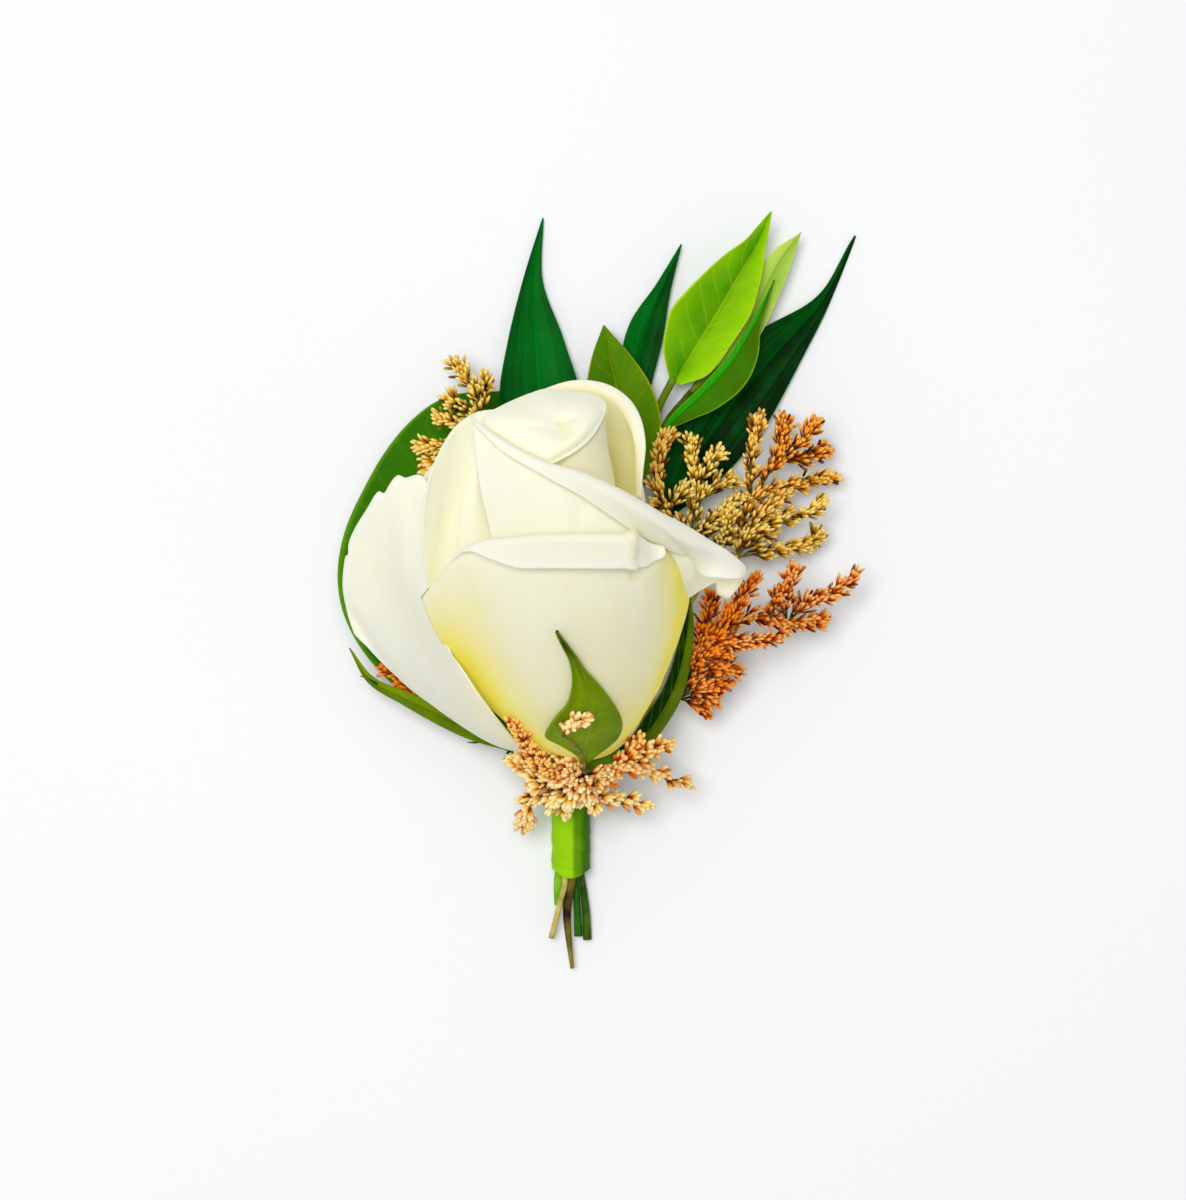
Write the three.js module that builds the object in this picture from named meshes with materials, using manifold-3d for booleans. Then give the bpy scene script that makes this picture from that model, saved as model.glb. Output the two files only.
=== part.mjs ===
// A white-rose boutonniere, laid down flat: a tilted rose, three kinds of leaf and dried
// filler sprays, bound together at the neck by one sleeve of green tape.
// +X is the wearer's side to side, +Y runs from the cut stems to the leaf tips, +Z is up.
import * as THREE from 'three';
import { mergeVertices } from 'three/addons/utils/BufferGeometryUtils.js';
import Module from 'manifold-3d';

const wasm = await Module();
wasm.setup();

// Driving dimensions in millimetres and degrees
const SHIFT = [-1.8, -1.3, 0];       // puts the middle of the footprint at the origin
const ROSE_BASE = [-0.15, -21.17, 9]; // centre of the receptacle, where the petals start
const ROSE_LEAN = -7;                // the rose's axis leans to the left
const ROSE_TILT = 28;                // and rises from the table
const PETAL = 0.6;                   // thickness of petals, sepals and leaf blades
const CLAW_RADIUS = 4;               // petals leave the receptacle on this circle
const TAPE_X = -3.3;
const TAPE_TOP = -30.2;
const TAPE_END = -40;
const TAPE_RADIUS = 2.8;
const TAPE_WALL = 0.35;
const TAPE_SIDES = 16;
const BUNDLE_Z = TAPE_RADIUS * Math.cos(Math.PI / TAPE_SIDES); // one flat of the sleeve lies on the table
const RING = 1.71;                   // thin stems stand round the rose's stem on this circle
const THIN_STEM = 0.42;              // their radius
const ROSE_STEM = 0.95;              // radius of the rose's own stem
const TWIG = 0.42;                   // radius of a filler twig
const FLORET = {
  length: [3.2, 4.4],  // from the twig to the tip
  radius: 0.9,
  belly: 0.55,         // where it is widest, along its length
  spacing: 2.5,        // along the twig, from one side to the other
  turn: [30, 90],      // degrees round the twig, up from the side
  spread: [0.75, 1],   // how far it stands out, per unit ahead
  sink: 0.3,           // its root is this far inside the twig
  first: 0.18,         // the twig is bare up to here, and full to its last place
  last: 0.98,
};
const BLADE_END = 0.35;              // half width at which leaves and sepals end bluntly

// Small helpers
const vec = (p) => new THREE.Vector3(...p);
const radians = THREE.MathUtils.degToRad;
const curve = (points) => new THREE.CatmullRomCurve3(points.map(vec), false, 'catmullrom', 0.5);
const at = (points, t) => curve(points).getPoint(THREE.MathUtils.clamp(t, 0, 1));
const value = (list, t) => at(list.map((x) => [x, 0, 0]), t).x;
const evenly = (count) => Array.from({ length: count + 1 }, (_, i) => i / count);

function randomFrom(seed) {
  let state = seed;
  return () => {
    state = (state * 1664525 + 1013904223) % 4294967296;
    return state / 4294967296;
  };
}

const between = (random, [low, high]) => low + (high - low) * random();

// Solids: joining closed meshes
function solid(geometry) {
  const bare = new THREE.BufferGeometry();
  bare.setAttribute('position', geometry.getAttribute('position').clone());
  if (geometry.index) bare.setIndex(geometry.index.clone());
  const merged = mergeVertices(bare, 1e-4);
  const corners = [];
  for (let i = 0; i < merged.index.count; i += 3) {
    const [a, b, c] = [0, 1, 2].map((k) => merged.index.getX(i + k));
    if (a !== b && b !== c && c !== a) corners.push(a, b, c);
  }
  return new wasm.Manifold(new wasm.Mesh({
    numProp: 3,
    vertProperties: new Float32Array(merged.getAttribute('position').array),
    triVerts: new Uint32Array(corners),
  }));
}

function fuse(solids) {
  let list = solids;
  while (list.length > 1) {
    const next = [];
    for (let i = 0; i < list.length; i += 2) {
      next.push(i + 1 < list.length ? list[i].add(list[i + 1]) : list[i]);
    }
    list = next;
  }
  return list[0];
}

const touches = (a, b) => a.intersect(b).getMesh().triVerts.length > 0;

// The largest shell of a joined solid: sealed hollows and loose scraps are left behind
function outerShell(joined) {
  const mesh = joined.getMesh();
  const positions = new THREE.BufferAttribute(new Float32Array(mesh.vertProperties), 3);
  let geometry = new THREE.BufferGeometry();
  geometry.setAttribute('position', positions);
  geometry.setIndex(Array.from(mesh.triVerts));
  geometry = mergeVertices(geometry, 1e-4);
  const index = geometry.index.array;
  const parent = Array.from({ length: geometry.getAttribute('position').count }, (_, i) => i);
  const root = (i) => {
    while (parent[i] !== i) {
      parent[i] = parent[parent[i]];
      i = parent[i];
    }
    return i;
  };
  for (let i = 0; i < index.length; i += 3) {
    parent[root(index[i + 1])] = root(index[i]);
    parent[root(index[i + 2])] = root(index[i]);
  }
  const shells = new Map();
  for (let i = 0; i < index.length; i += 3) {
    const key = root(index[i]);
    if (!shells.has(key)) shells.set(key, []);
    shells.get(key).push(index[i], index[i + 1], index[i + 2]);
  }
  const largest = [...shells.values()].sort((a, b) => b.length - a.length)[0];
  geometry.setIndex(largest);
  return geometry;
}

// A closed sheet. surface(u, v) is its middle, u across and v along; rows are the values of v
function sheet(surface, across, rows, thickness) {
  const positions = [];
  const step = 0.002;
  const place = (u, v, side) => {
    const [u0, u1] = [Math.max(u - step, 0), Math.min(u + step, 1)];
    const [v0, v1] = [Math.max(v - step, rows[0]), Math.min(v + step, rows[rows.length - 1])];
    const du = surface(u1, v).sub(surface(u0, v));
    const dv = surface(u, v1).sub(surface(u, v0));
    return surface(u, v).addScaledVector(du.cross(dv).normalize(), side * thickness / 2);
  };
  for (const side of [1, -1]) {
    for (const v of rows) {
      for (let i = 0; i <= across; i++) positions.push(...place(i / across, v, side));
    }
  }
  const columns = across + 1;
  const count = columns * rows.length;
  const corner = (i, j) => j * columns + i;
  const last = rows.length - 1;
  const faces = [];
  for (let j = 0; j < last; j++) {
    for (let i = 0; i < across; i++) {
      const [a, b, c, d] = [corner(i, j), corner(i + 1, j), corner(i + 1, j + 1), corner(i, j + 1)];
      faces.push(a, b, c, a, c, d);
      faces.push(count + a, count + c, count + b, count + a, count + d, count + c);
    }
  }
  const rim = [];
  for (let i = 0; i < across; i++) rim.push(corner(i, 0));
  for (let j = 0; j < last; j++) rim.push(corner(across, j));
  for (let i = across; i > 0; i--) rim.push(corner(i, last));
  for (let j = last; j > 0; j--) rim.push(corner(0, j));
  rim.forEach((p, k) => {
    const q = rim[(k + 1) % rim.length];
    faces.push(count + p, count + q, q, count + p, q, p);
  });
  return closed(positions, faces);
}

function closed(positions, faces) {
  const geometry = new THREE.BufferGeometry();
  geometry.setAttribute('position', new THREE.Float32BufferAttribute(positions, 3));
  geometry.setIndex(faces);
  return solid(geometry);
}

// A closed body through a stack of rings of equal length, with a pole at each end
function stack(rings) {
  const sides = rings[0].length;
  const middle = (ring) => ring.reduce((sum, p) => sum.add(p), new THREE.Vector3()).divideScalar(sides);
  const positions = rings.flat().flatMap((p) => [...p]);
  positions.push(...middle(rings[0]), ...middle(rings[rings.length - 1]));
  const [foot, top] = [rings.length * sides, rings.length * sides + 1];
  const faces = [];
  for (let i = 0; i < sides; i++) {
    const n = (i + 1) % sides;
    faces.push(foot, n, i, top, (rings.length - 1) * sides + i, (rings.length - 1) * sides + n);
    for (let j = 0; j + 1 < rings.length; j++) {
      const [a, b, c, d] = [j * sides + i, j * sides + n, (j + 1) * sides + n, (j + 1) * sides + i];
      faces.push(a, b, c, a, c, d);
    }
  }
  return closed(positions, faces);
}

// A round stem along a curve
function stem(points, radius, sides = 6, steps = 12) {
  const section = new THREE.Shape();
  for (let i = 0; i < sides; i++) {
    const angle = (2 * Math.PI * (i + 0.5)) / sides;
    const [x, y] = [radius * Math.cos(angle), radius * Math.sin(angle)];
    if (i === 0) section.moveTo(x, y);
    else section.lineTo(x, y);
  }
  section.closePath();
  return solid(new THREE.ExtrudeGeometry(section, {
    steps, curveSegments: 1, bevelEnabled: false, extrudePath: curve(points),
  }));
}

// The rose's own frame: azimuth 0 faces the viewer and grows to the right, radius from the axis,
// height along it
const lean = radians(ROSE_LEAN);
const tilt = radians(ROSE_TILT);
const AXIS = vec([Math.sin(lean) * Math.cos(tilt), Math.cos(lean) * Math.cos(tilt), Math.sin(tilt)]);
const FRONT = new THREE.Vector3(0, 0, 1).addScaledVector(AXIS, -AXIS.z).normalize();
const RIGHT = new THREE.Vector3().crossVectors(AXIS, FRONT);

function rose(azimuth, radius, height) {
  return vec(ROSE_BASE)
    .addScaledVector(AXIS, height)
    .addScaledVector(RIGHT, radius * Math.sin(radians(azimuth)))
    .addScaledVector(FRONT, radius * Math.cos(radians(azimuth)));
}

// A petal is a fan of curves from the claw, over a foot and a belly, to the rim. Each list runs
// from its left edge to its right one, in azimuth, radius and height. Past the rim it bends
// outwards by roll degrees on the bend radius and goes on for the length of its hem.
const PETALS = [
  { name: 'outer_left', claw: [-85, -62],
    foot: [[-88, 16, 1.8], [-80, 17, 1.6], [-68, 17, 4.5]],
    belly: [[-99, 27, 11], [-84, 29.5, 14.5], [-42, 22, 22]],
    rim: [[-94, 31.9, 21.7], [-95, 32.8, 26.6], [-94, 32.2, 32.2], [-94, 30.1, 37.9], [-93, 25.9, 43.3],
      [-92, 21.8, 45.9], [-88, 17.2, 46.9], [-74, 17.7, 41.8], [-61, 21.3, 37], [-55, 25.3, 34.2]] },
  { name: 'second_left', claw: [-80, -20],
    foot: [[-73, 20, 8], [-50, 16, 6], [-30, 10, 10]],
    belly: [[-50, 29.5, 35.5], [-40, 26, 34], [-18, 20, 38]],
    rim: [[-70, 18.4, 50.1], [-78, 14.4, 53.8], [-86, 10.9, 55.2], [-93, 8.2, 55.1], [-97, 6.2, 54.7]] },
  { name: 'bud_left', across: 5, claw: [-60, 20],
    foot: [[-55, 13, 14], [-30, 13, 10], [0, 10, 10]],
    belly: [[-39, 30, 39], [-26, 25, 40], [-8, 19, 42]],
    rim: [[-52, 12.6, 53.4], [-52, 11.5, 54.7], [-57, 9.6, 55.2], [-59, 7.4, 54.5]] },
  { name: 'diagonal', claw: [-40, 62],
    foot: [[-50, 14, 14], [0, 13, 8], [40, 11, 8]],
    belly: [[-8, 26, 42], [2, 25, 38], [28, 24, 34], [58, 20, 30], [72, 12, 26]],
    rim: [[-51, 13.3, 57.6], [-30, 13.8, 55.2], [-6, 15.1, 52.6], [12, 16.8, 50.6], [25, 19.2, 48.1],
      [35, 21.7, 45.5], [44, 24.3, 41.9], [51, 26.6, 38], [56, 27.9, 34.9]],
    roll: [120, 165, 170, 170, 168, 165, 160, 150, 130],
    bend: [0.7, 0.8, 0.9, 1, 1.1, 1.1, 1, 0.9, 0.7],
    hem: [0.3, 0.8, 1.2, 2.2, 4.2, 5.6, 6.2, 6.2, 3.5] },
  { name: 'front_low', claw: [-75, 85],
    foot: [[-72, 17, 4.4], [-10, 12.5, 3.2], [40, 9.5, 4], [75, 7, 5]],
    belly: [[-57, 22, 21], [-8, 27, 21], [35, 24, 24], [92, 16.5, 17]],
    rim: [[-61, 23.8, 33.7], [-45, 22.9, 40], [-32, 22.4, 43.9], [-17, 22.2, 45.3], [-3, 21.8, 45.3],
      [10, 22.4, 44.9], [23, 23.2, 43.8], [33, 22.9, 40.7], [46, 20.5, 35], [66, 17.4, 27.3]],
    roll: [0, 40, 140, 168, 170, 170, 170, 165, 90, 0],
    bend: [0.5, 0.6, 0.8, 0.9, 0.9, 0.9, 0.9, 0.8, 0.6, 0.5],
    hem: [0, 0, 0.5, 3.2, 3.8, 4, 4.2, 3, 0.8, 0] },
  { name: 'back_right', across: 6, claw: [70, 230],
    foot: [[84, 6.8, 4.4], [149, 8, 6.3], [234, 7.7, 6.3]],
    belly: [[104, 15, 18.5], [147, 17.7, 26.3], [241, 17, 26.2]],
    rim: [[104, 10.9, 37], [107, 11.8, 44.9], [119, 11.9, 49.4], [135, 11, 51.8], [160, 10, 52.9],
      [187, 9.5, 52.9], [217, 10.5, 52], [241, 10.9, 52.5]],
    roll: [110, 110, 80, 50, 40],
    bend: [1.2, 1] },
  { name: 'inner_right', across: 5, claw: [0, 120],
    foot: [[10, 8, 14], [60, 8, 14], [110, 8, 14]],
    belly: [[0, 12.5, 44], [50, 13, 42], [105, 11, 40]],
    rim: [[-25, 11.6, 50.6], [3, 11, 51.9], [30, 10, 52.9], [61, 8.3, 54.3], [88, 7.1, 54.9]] },
  { name: 'side_right', across: 5, claw: [40, 160],
    foot: [[45, 9, 4], [95, 9.5, 4], [150, 9, 4]],
    belly: [[50, 18, 17], [95, 18, 17], [145, 16, 19]],
    rim: [[52, 16, 30], [80, 15, 33], [110, 14.5, 35], [145, 14, 36]],
    roll: [60, 70, 60],
    bend: [1.2, 1.2] },
  { name: 'back_under', across: 5, claw: [130, 250],
    foot: [[135, 8.5, 5], [190, 8.5, 5], [245, 8.5, 5]],
    belly: [[135, 15.5, 22], [190, 15.5, 24], [245, 16, 22]],
    rim: [[138, 13, 42], [165, 12, 47], [190, 11.5, 48.5], [215, 12, 48], [242, 13, 44]],
    roll: [60, 60],
    bend: [1.2, 1.2] },
  { name: 'back_left', across: 5, claw: [-175, -95],
    foot: [[-172, 8, 4], [-135, 10, 3], [-98, 12, 2.5]],
    belly: [[-172, 15.5, 20], [-140, 18, 19], [-105, 24, 16]],
    rim: [[-168, 14, 42], [-145, 16, 44], [-120, 18, 44], [-100, 20, 42]],
    roll: [60, 60],
    bend: [1.2, 1.2] },
];

function petalFace({ claw, foot, belly, rim }, u, v) {
  const rows = [[claw[0] + (claw[1] - claw[0]) * u, CLAW_RADIUS, 0], at(foot, u), at(belly, u), at(rim, u)];
  const weights = [(1 - v) ** 3, 3 * (1 - v) ** 2 * v, 3 * (1 - v) * v ** 2, v ** 3];
  const sum = new THREE.Vector3();
  rows.forEach((row, k) => sum.addScaledVector(vec([...row]), weights[k]));
  return rose(...sum);
}

// v runs from 0 at the claw to 1 at the rim, and on to 2 at the end of the hem
function petalSurface(petal) {
  return (u, v) => {
    if (v <= 1) return petalFace(petal, u, v);
    const edge = petalFace(petal, u, 1);
    const up = edge.clone().sub(petalFace(petal, u, 0.97)).normalize();
    const ahead = petalFace(petal, Math.min(u + 0.01, 1), 1).sub(petalFace(petal, Math.max(u - 0.01, 0), 1));
    const out = ahead.cross(up).normalize();
    const angle = radians(value(petal.roll, u));
    const bend = value(petal.bend, u);
    const arc = bend * angle;
    const length = (v - 1) * (arc + (petal.hem ? Math.max(value(petal.hem, u), 0) : 0));
    const turned = Math.min(length, arc) / bend;
    const straight = Math.max(length - arc, 0);
    return edge
      .addScaledVector(up, bend * Math.sin(turned) + straight * Math.cos(angle))
      .addScaledVector(out, bend * (1 - Math.cos(turned)) + straight * Math.sin(angle));
  };
}

// Petals that are mostly hidden name fewer columns, and get fewer rows too
const ROWS = { seen: [0, 0.15, 0.3, 0.46, 0.64, 0.82, 1], hidden: [0, 0.2, 0.42, 0.62, 0.8, 1] };
const ROLL_ROWS = { hem: [1.15, 1.3, 1.5, 2], bare: [1.5, 2] };

function petal(spec) {
  const rows = spec.across ? [...ROWS.hidden] : [...ROWS.seen];
  if (spec.roll) rows.push(...(spec.hem ? ROLL_ROWS.hem : ROLL_ROWS.bare));
  return sheet(petalSurface(spec), spec.across || 8, rows, PETAL);
}

// The closed heart of the bud: a wall up to a closed rim, folded in over the top
const BUD_RIM = [[-6, 13.3, 51.7], [16, 12.4, 53.2], [39, 10.7, 54.6], [61, 9.2, 55.5], [75, 7.3, 56.1],
  [90, 3.8, 56.4], [220, 0.6, 56.3], [262, 4.7, 55.6], [273, 7.6, 54.7], [291, 9.5, 54.2],
  [317, 10.7, 53.3], [338, 12.6, 52.6], [354, 13.3, 51.7]];
const BUD_HEART = [-4.1, 23.5, 42.5];
const BUD_WALL = [[CLAW_RADIUS, 0], [9, 10], [12.5, 24], [13.2, 36], [12.6, 45]];
const BUD_SIDES = 20;
const BUD_FOLDS = [0.3, 0.6, 0.85];  // rings between the rim and the heart
const BUD_SWELL = 2.6;

const roseRing = (radius, height, sides) => (
  Array.from({ length: sides }, (_, i) => rose((360 * i) / sides, radius, height)));

function bud() {
  const rings = BUD_WALL.map(([radius, height]) => roseRing(radius, height, BUD_SIDES));
  const start = -BUD_RIM[0][0] / 360;
  const rim = Array.from({ length: BUD_SIDES }, (_, i) => rose(...at(BUD_RIM, (i / BUD_SIDES + start) % 1)));
  rings.push(rim);
  for (const t of BUD_FOLDS) {
    const swell = BUD_SWELL * Math.sin(Math.PI * t) * (1 - t);
    rings.push(rim.map((p) => p.clone().lerp(vec(BUD_HEART), t).add(vec([0, 0, swell]))));
  }
  return stack(rings);
}

const makeBloom = () => fuse([bud(), ...PETALS.map(petal)]);

// Leaves and sepals: a spine, half widths along it, the way the blade faces, a fold that lifts
// both edges, an arch that drops them and a wave along them
function leafSurface({ spine, half, face = [0, 0, 1], fold = 0, arch = 0, wave = 0, waves = 3 }) {
  return (u, v) => {
    const middle = at(spine, v);
    const ahead = at(spine, Math.min(v + 0.02, 1)).sub(at(spine, Math.max(v - 0.02, 0)));
    const side = ahead.cross(vec(face)).normalize();
    const reach = Math.max(value(half, v), BLADE_END);
    const s = 2 * u - 1;
    const ripple = wave * s * s * Math.sin(2 * Math.PI * waves * v);
    const lift = reach * (fold * Math.abs(s) - arch * s * s) + ripple;
    return middle.addScaledVector(side, s * reach).addScaledVector(vec(face).normalize(), lift);
  };
}

const leaf = (spec, across = 4, along = 8) => sheet(leafSurface(spec), across, evenly(along), PETAL);

const BROAD_LEAF = {
  spine: [[-6.1, -25.4, 1], [-13.4, -17.9, 0.7], [-20.1, -8.8, 0.4], [-23.4, 2.2, 0.3], [-21.8, 14, 0.4],
    [-18.3, 24.6, 0.4], [-13.4, 31.1, 0.5]],
  half: [0.5, 6.5, 11.3, 14.7, 12.7, 8.2, 0.4], fold: 0.06, wave: 0.3 };
const DARK_LEAVES = [
  { spine: [[-4.6, 12, 1.8], [-6, 20.2, 1.8], [-7.8, 29.4, 1.6], [-8.6, 38.7, 1.2], [-9, 47.8, 0.9],
    [-7.5, 57.2, 0.6]],
    half: [0.4, 4.6, 6.1, 4.2, 1.5, 0.3], fold: 0.12 },
  { spine: [[3.7, 19.4, 1.6], [5, 26.2, 1.2], [6.3, 33.2, 1], [7.9, 40.2, 1], [10.5, 46.7, 1.2],
    [13.2, 53.2, 1.4]],
    half: [0.4, 2.2, 2.6, 2.7, 1.2, 0.3], fold: 0.12 },
  { spine: [[9.3, 11.2, 1.8], [14.1, 19.7, 1.2], [20.2, 28.8, 0.8], [27.2, 37, 0.6], [34.4, 44.8, 0.4],
    [39.3, 54.6, 0.35]],
    half: [0.4, 4.7, 6.2, 4.2, 1.1, 0.3], fold: 0.12, wave: 0.2 },
];
const LIGHT_LEAVES = [
  { spine: [[5.8, 15.6, 3.8], [5.8, 20.1, 4.5], [5.1, 25.4, 5], [3.7, 30.8, 5.2], [2.5, 36, 4.9],
    [1.6, 40.8, 4.4]],
    half: [0.4, 3.3, 5.1, 4.9, 2.9, 0.3], fold: 0.12 },
  { spine: [[11, 32.6, 5], [13.7, 36.1, 5.8], [16.7, 41.5, 6.4], [20.2, 46.8, 6.6], [23.1, 52.2, 6.3],
    [26.2, 57.5, 5.6]],
    half: [0.4, 4.2, 4.7, 4.1, 2.2, 0.3], fold: 0.15, wave: 0.2 },
  { spine: [[17.7, 33.9, 3.4], [20.9, 36.9, 3.7], [23.3, 41.5, 4.1], [25.5, 46.1, 4.2], [28, 50.7, 4.2],
    [30.9, 54.6, 4]],
    half: [0.4, 2.1, 2.4, 2.3, 1.8, 0.3], fold: 0.12 },
  { spine: [[10.3, 25.3, 3.6], [14.1, 28.6, 3.4], [18.3, 32.6, 3.4], [21.8, 37.3, 3.4], [24.4, 42.4, 3.4],
    [26.8, 47.7, 3.2]],
    half: [0.4, 2.8, 2.8, 2.3, 1.2, 0.3], fold: 0.3 },
];

// The front sepal lies on the front petal: its middle and half width in the petal's own u, by v
const FRONT_SEPAL = {
  v: [-0.06, 0.08, 0.2, 0.34, 0.46, 0.56, 0.65, 0.73, 0.8],
  u: [0.43, 0.43, 0.42, 0.4, 0.405, 0.415, 0.41, 0.391, 0.381],
  half: [0.09, 0.1, 0.13, 0.155, 0.12, 0.075, 0.028, 0.012, 0.01],
  lift: 1.15,
};

function frontSepal() {
  const petalUnder = petalSurface(PETALS.find((spec) => spec.name === 'front_low'));
  const surface = (s, t) => {
    const v = value(FRONT_SEPAL.v, t);
    const u = value(FRONT_SEPAL.u, t) + (2 * s - 1) * value(FRONT_SEPAL.half, t);
    const du = petalUnder(u + 0.01, v).sub(petalUnder(u - 0.01, v));
    const dv = petalUnder(u, v + 0.01).sub(petalUnder(u, v - 0.01));
    return petalUnder(u, v).addScaledVector(du.cross(dv).normalize(), FRONT_SEPAL.lift);
  };
  return sheet(surface, 4, evenly(10), PETAL);
}

const SEPALS = [
  { spine: [[2.5, -23.6, 7.6], [6.4, -21.4, 9.6], [9.9, -17.2, 11.9], [12.5, -12.9, 14.4], [14, -8, 16.7],
    [14.6, -3.4, 18.4], [14.2, 1.4, 20]],
    half: [1, 1.6, 1.8, 1.6, 1.2, 0.8, 0.3], face: [0.8, -0.45, 0.25], arch: 0.1 },
  { spine: [[-2.5, -24, 8], [-6.5, -22.6, 7.7], [-11.9, -20.9, 7.4], [-17.4, -19.3, 7.2], [-22.6, -16.9, 7.1],
    [-27.8, -14.5, 7], [-32.8, -11.8, 7.2], [-35.9, -7.1, 7.8]],
    half: [1, 1, 1.2, 1.3, 1.4, 0.9, 0.6, 0.3], face: [0, 0, 1], fold: 0.1 },
  { spine: [[1, -22.5, 6], [3, -18.6, 4.6], [5.2, -13, 5], [6.4, -8.5, 6]],
    half: [1, 2, 1.2, 0.3], face: [0.1, -0.4, -0.9], arch: 0.1 },
  { spine: [[-1.5, -22.5, 6], [-3.6, -18.6, 4.2], [-5.6, -13, 3.8], [-6.6, -9, 4]],
    half: [1, 2, 1.2, 0.3], face: [-0.1, -0.4, -0.9], arch: 0.1 },
];

// The hip is a small cup under the petals, on the rose's own axis
const HIP = [[1, -5.4], [2.2, -4.6], [3.4, -3.4], [4.3, -2], [4.4, -1], [3.9, -0.5]];

const hip = () => stack(HIP.map(([radius, height]) => roseRing(radius, height, 12)));

const ROSE_STEM_PATH = [[0.2, -24.2, 7.4], [-0.6, -25.5, 5.7], [-2.5, -26.9, 3.6], [TAPE_X, -28.6, BUNDLE_Z],
  [TAPE_X, -32, BUNDLE_Z], [TAPE_X, -40.5, BUNDLE_Z], [-3.9, -47, 2.4], [-3.1, -55, 2.1]];

const makeRoseStem = () => fuse([
  hip(), stem(ROSE_STEM_PATH, ROSE_STEM, 8, 18), frontSepal(), ...SEPALS.map((spec) => leaf(spec, 2, 7)),
]);

// Thin stems stand round the rose's stem inside the tape, at an angle from the top
function ringPoint(angle, y) {
  return [TAPE_X + RING * Math.sin(radians(angle)), y, BUNDLE_Z + RING * Math.cos(radians(angle))];
}

const throughTape = (angle, above, below) => [
  ...above, ringPoint(angle, TAPE_TOP + 1.8), ringPoint(angle, -32), ringPoint(angle, -36),
  ringPoint(angle, TAPE_END), ...below,
];

const thinStem = (angle, above, below) => (
  stem(throughTape(angle, above, below), THIN_STEM, 5, 8 + 2 * (above.length + below.length)));

// Cut ends that end at the tape's lower edge
const flush = (angle) => [ringPoint(angle, TAPE_END - 0.7)];

const makeBroadLeaf = () => fuse([
  thinStem(225, [[-7.4, -24.3, 0.9], [-6.2, -26.4, 1]], [[-4.9, -43, 1.4], [-5.2, -45.3, 1.2]]),
  leaf(BROAD_LEAF, 6, 14),
]);

const makeDarkSprig = () => fuse([
  thinStem(180, [[1, 8, 1.5], [1.2, -4, 1.2], [0.4, -18, 0.9], [-2.4, -27, 0.9]],
    [[-2.8, -44, 0.9], [-2.2, -50.4, 0.9]]),
  stem([[0.6, 2, 1.3], [-2.2, 8, 1.5], [-4.9, 13.5, 1.5]], THIN_STEM, 6, 6),
  stem([[1, 7, 1.5], [2.6, 14, 1.5], [4, 20.6, 1.5]], THIN_STEM, 6, 6),
  stem([[0.9, 0, 1.3], [5, 6, 1.5], [10, 12.4, 1.7]], THIN_STEM, 6, 6),
  ...DARK_LEAVES.map((spec) => leaf(spec)),
]);

const makeLightSprig = () => fuse([
  thinStem(135, [[14.6, 31, 3.9], [10.6, 26, 3.6], [7.2, 17, 3.4], [6.2, 5, 3.1], [5.6, -10, 2.7],
    [3.4, -22, 2.2], [0.4, -26.6, 1.7]], [[-1.4, -44, 1.2], [-0.3, -50.8, 1]]),
  stem([[6.6, 12, 3.3], [5.9, 14.6, 3.5], [5.7, 16.8, 3.9]], THIN_STEM, 6, 4),
  stem([[8.6, 22, 3.5], [9.6, 27.6, 4.4], [11.4, 33.6, 5.2]], THIN_STEM, 6, 6),
  stem([[13.6, 30, 3.8], [16.2, 32.6, 3.4], [18.4, 34.6, 3.4]], THIN_STEM, 6, 6),
  ...LIGHT_LEAVES.map((spec) => leaf(spec)),
]);

// Filler sprays: each branch is a twig with florets that point forward on both its sides
const UPPER_RIGHT = [
  [[21.4, 6.3, 7], [27.1, 7.4, 6], [31.4, 8.2, 5], [34, 10.2, 5]],
  [[21.4, 6.3, 7], [22.5, 9.6, 8.5], [30.3, 12.3, 9], [34.4, 14.7, 9]],
  [[21.4, 6.3, 7], [23.5, 14.8, 6.5], [30.5, 17.2, 5.5], [36.5, 18.7, 5]],
  [[23.5, 14.8, 6.5], [23.2, 20.1, 9], [23.8, 23.8, 10], [24.3, 27.2, 11]],
  [[24.7, 16.3, 6.5], [27, 21.1, 8], [27.7, 23.9, 8], [28.4, 27.5, 7]],
  [[26.4, 19.2, 7], [30.5, 23.2, 10], [32.9, 26.5, 11]],
  [[27, 20.4, 7], [31.9, 21.1, 7], [35.2, 22.8, 6]],
  [[14.4, 8.9, 6], [15.2, 15.2, 8], [14.6, 19.8, 9], [14.4, 24.3, 10]],
  [[15, 15.9, 8], [17.2, 20.1, 10], [18.9, 22.1, 11]],
  [[15.3, 14, 8], [18, 16.8, 7], [21.5, 18.1, 6]],
  [[14.4, 8.9, 6], [17.5, 11.5, 9], [20.7, 14.2, 10]],
  [[18.2, 7.4, 6.6], [19.3, 9.5, 11], [20.4, 13.4, 12]],
  [[14.4, 8.9, 6], [10.1, 14.5, 10], [9.8, 20.1, 9], [12.7, 25.3, 8]],
  [[11, 12.9, 9], [12.5, 15, 10], [13.8, 16.7, 10]],
];
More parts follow.
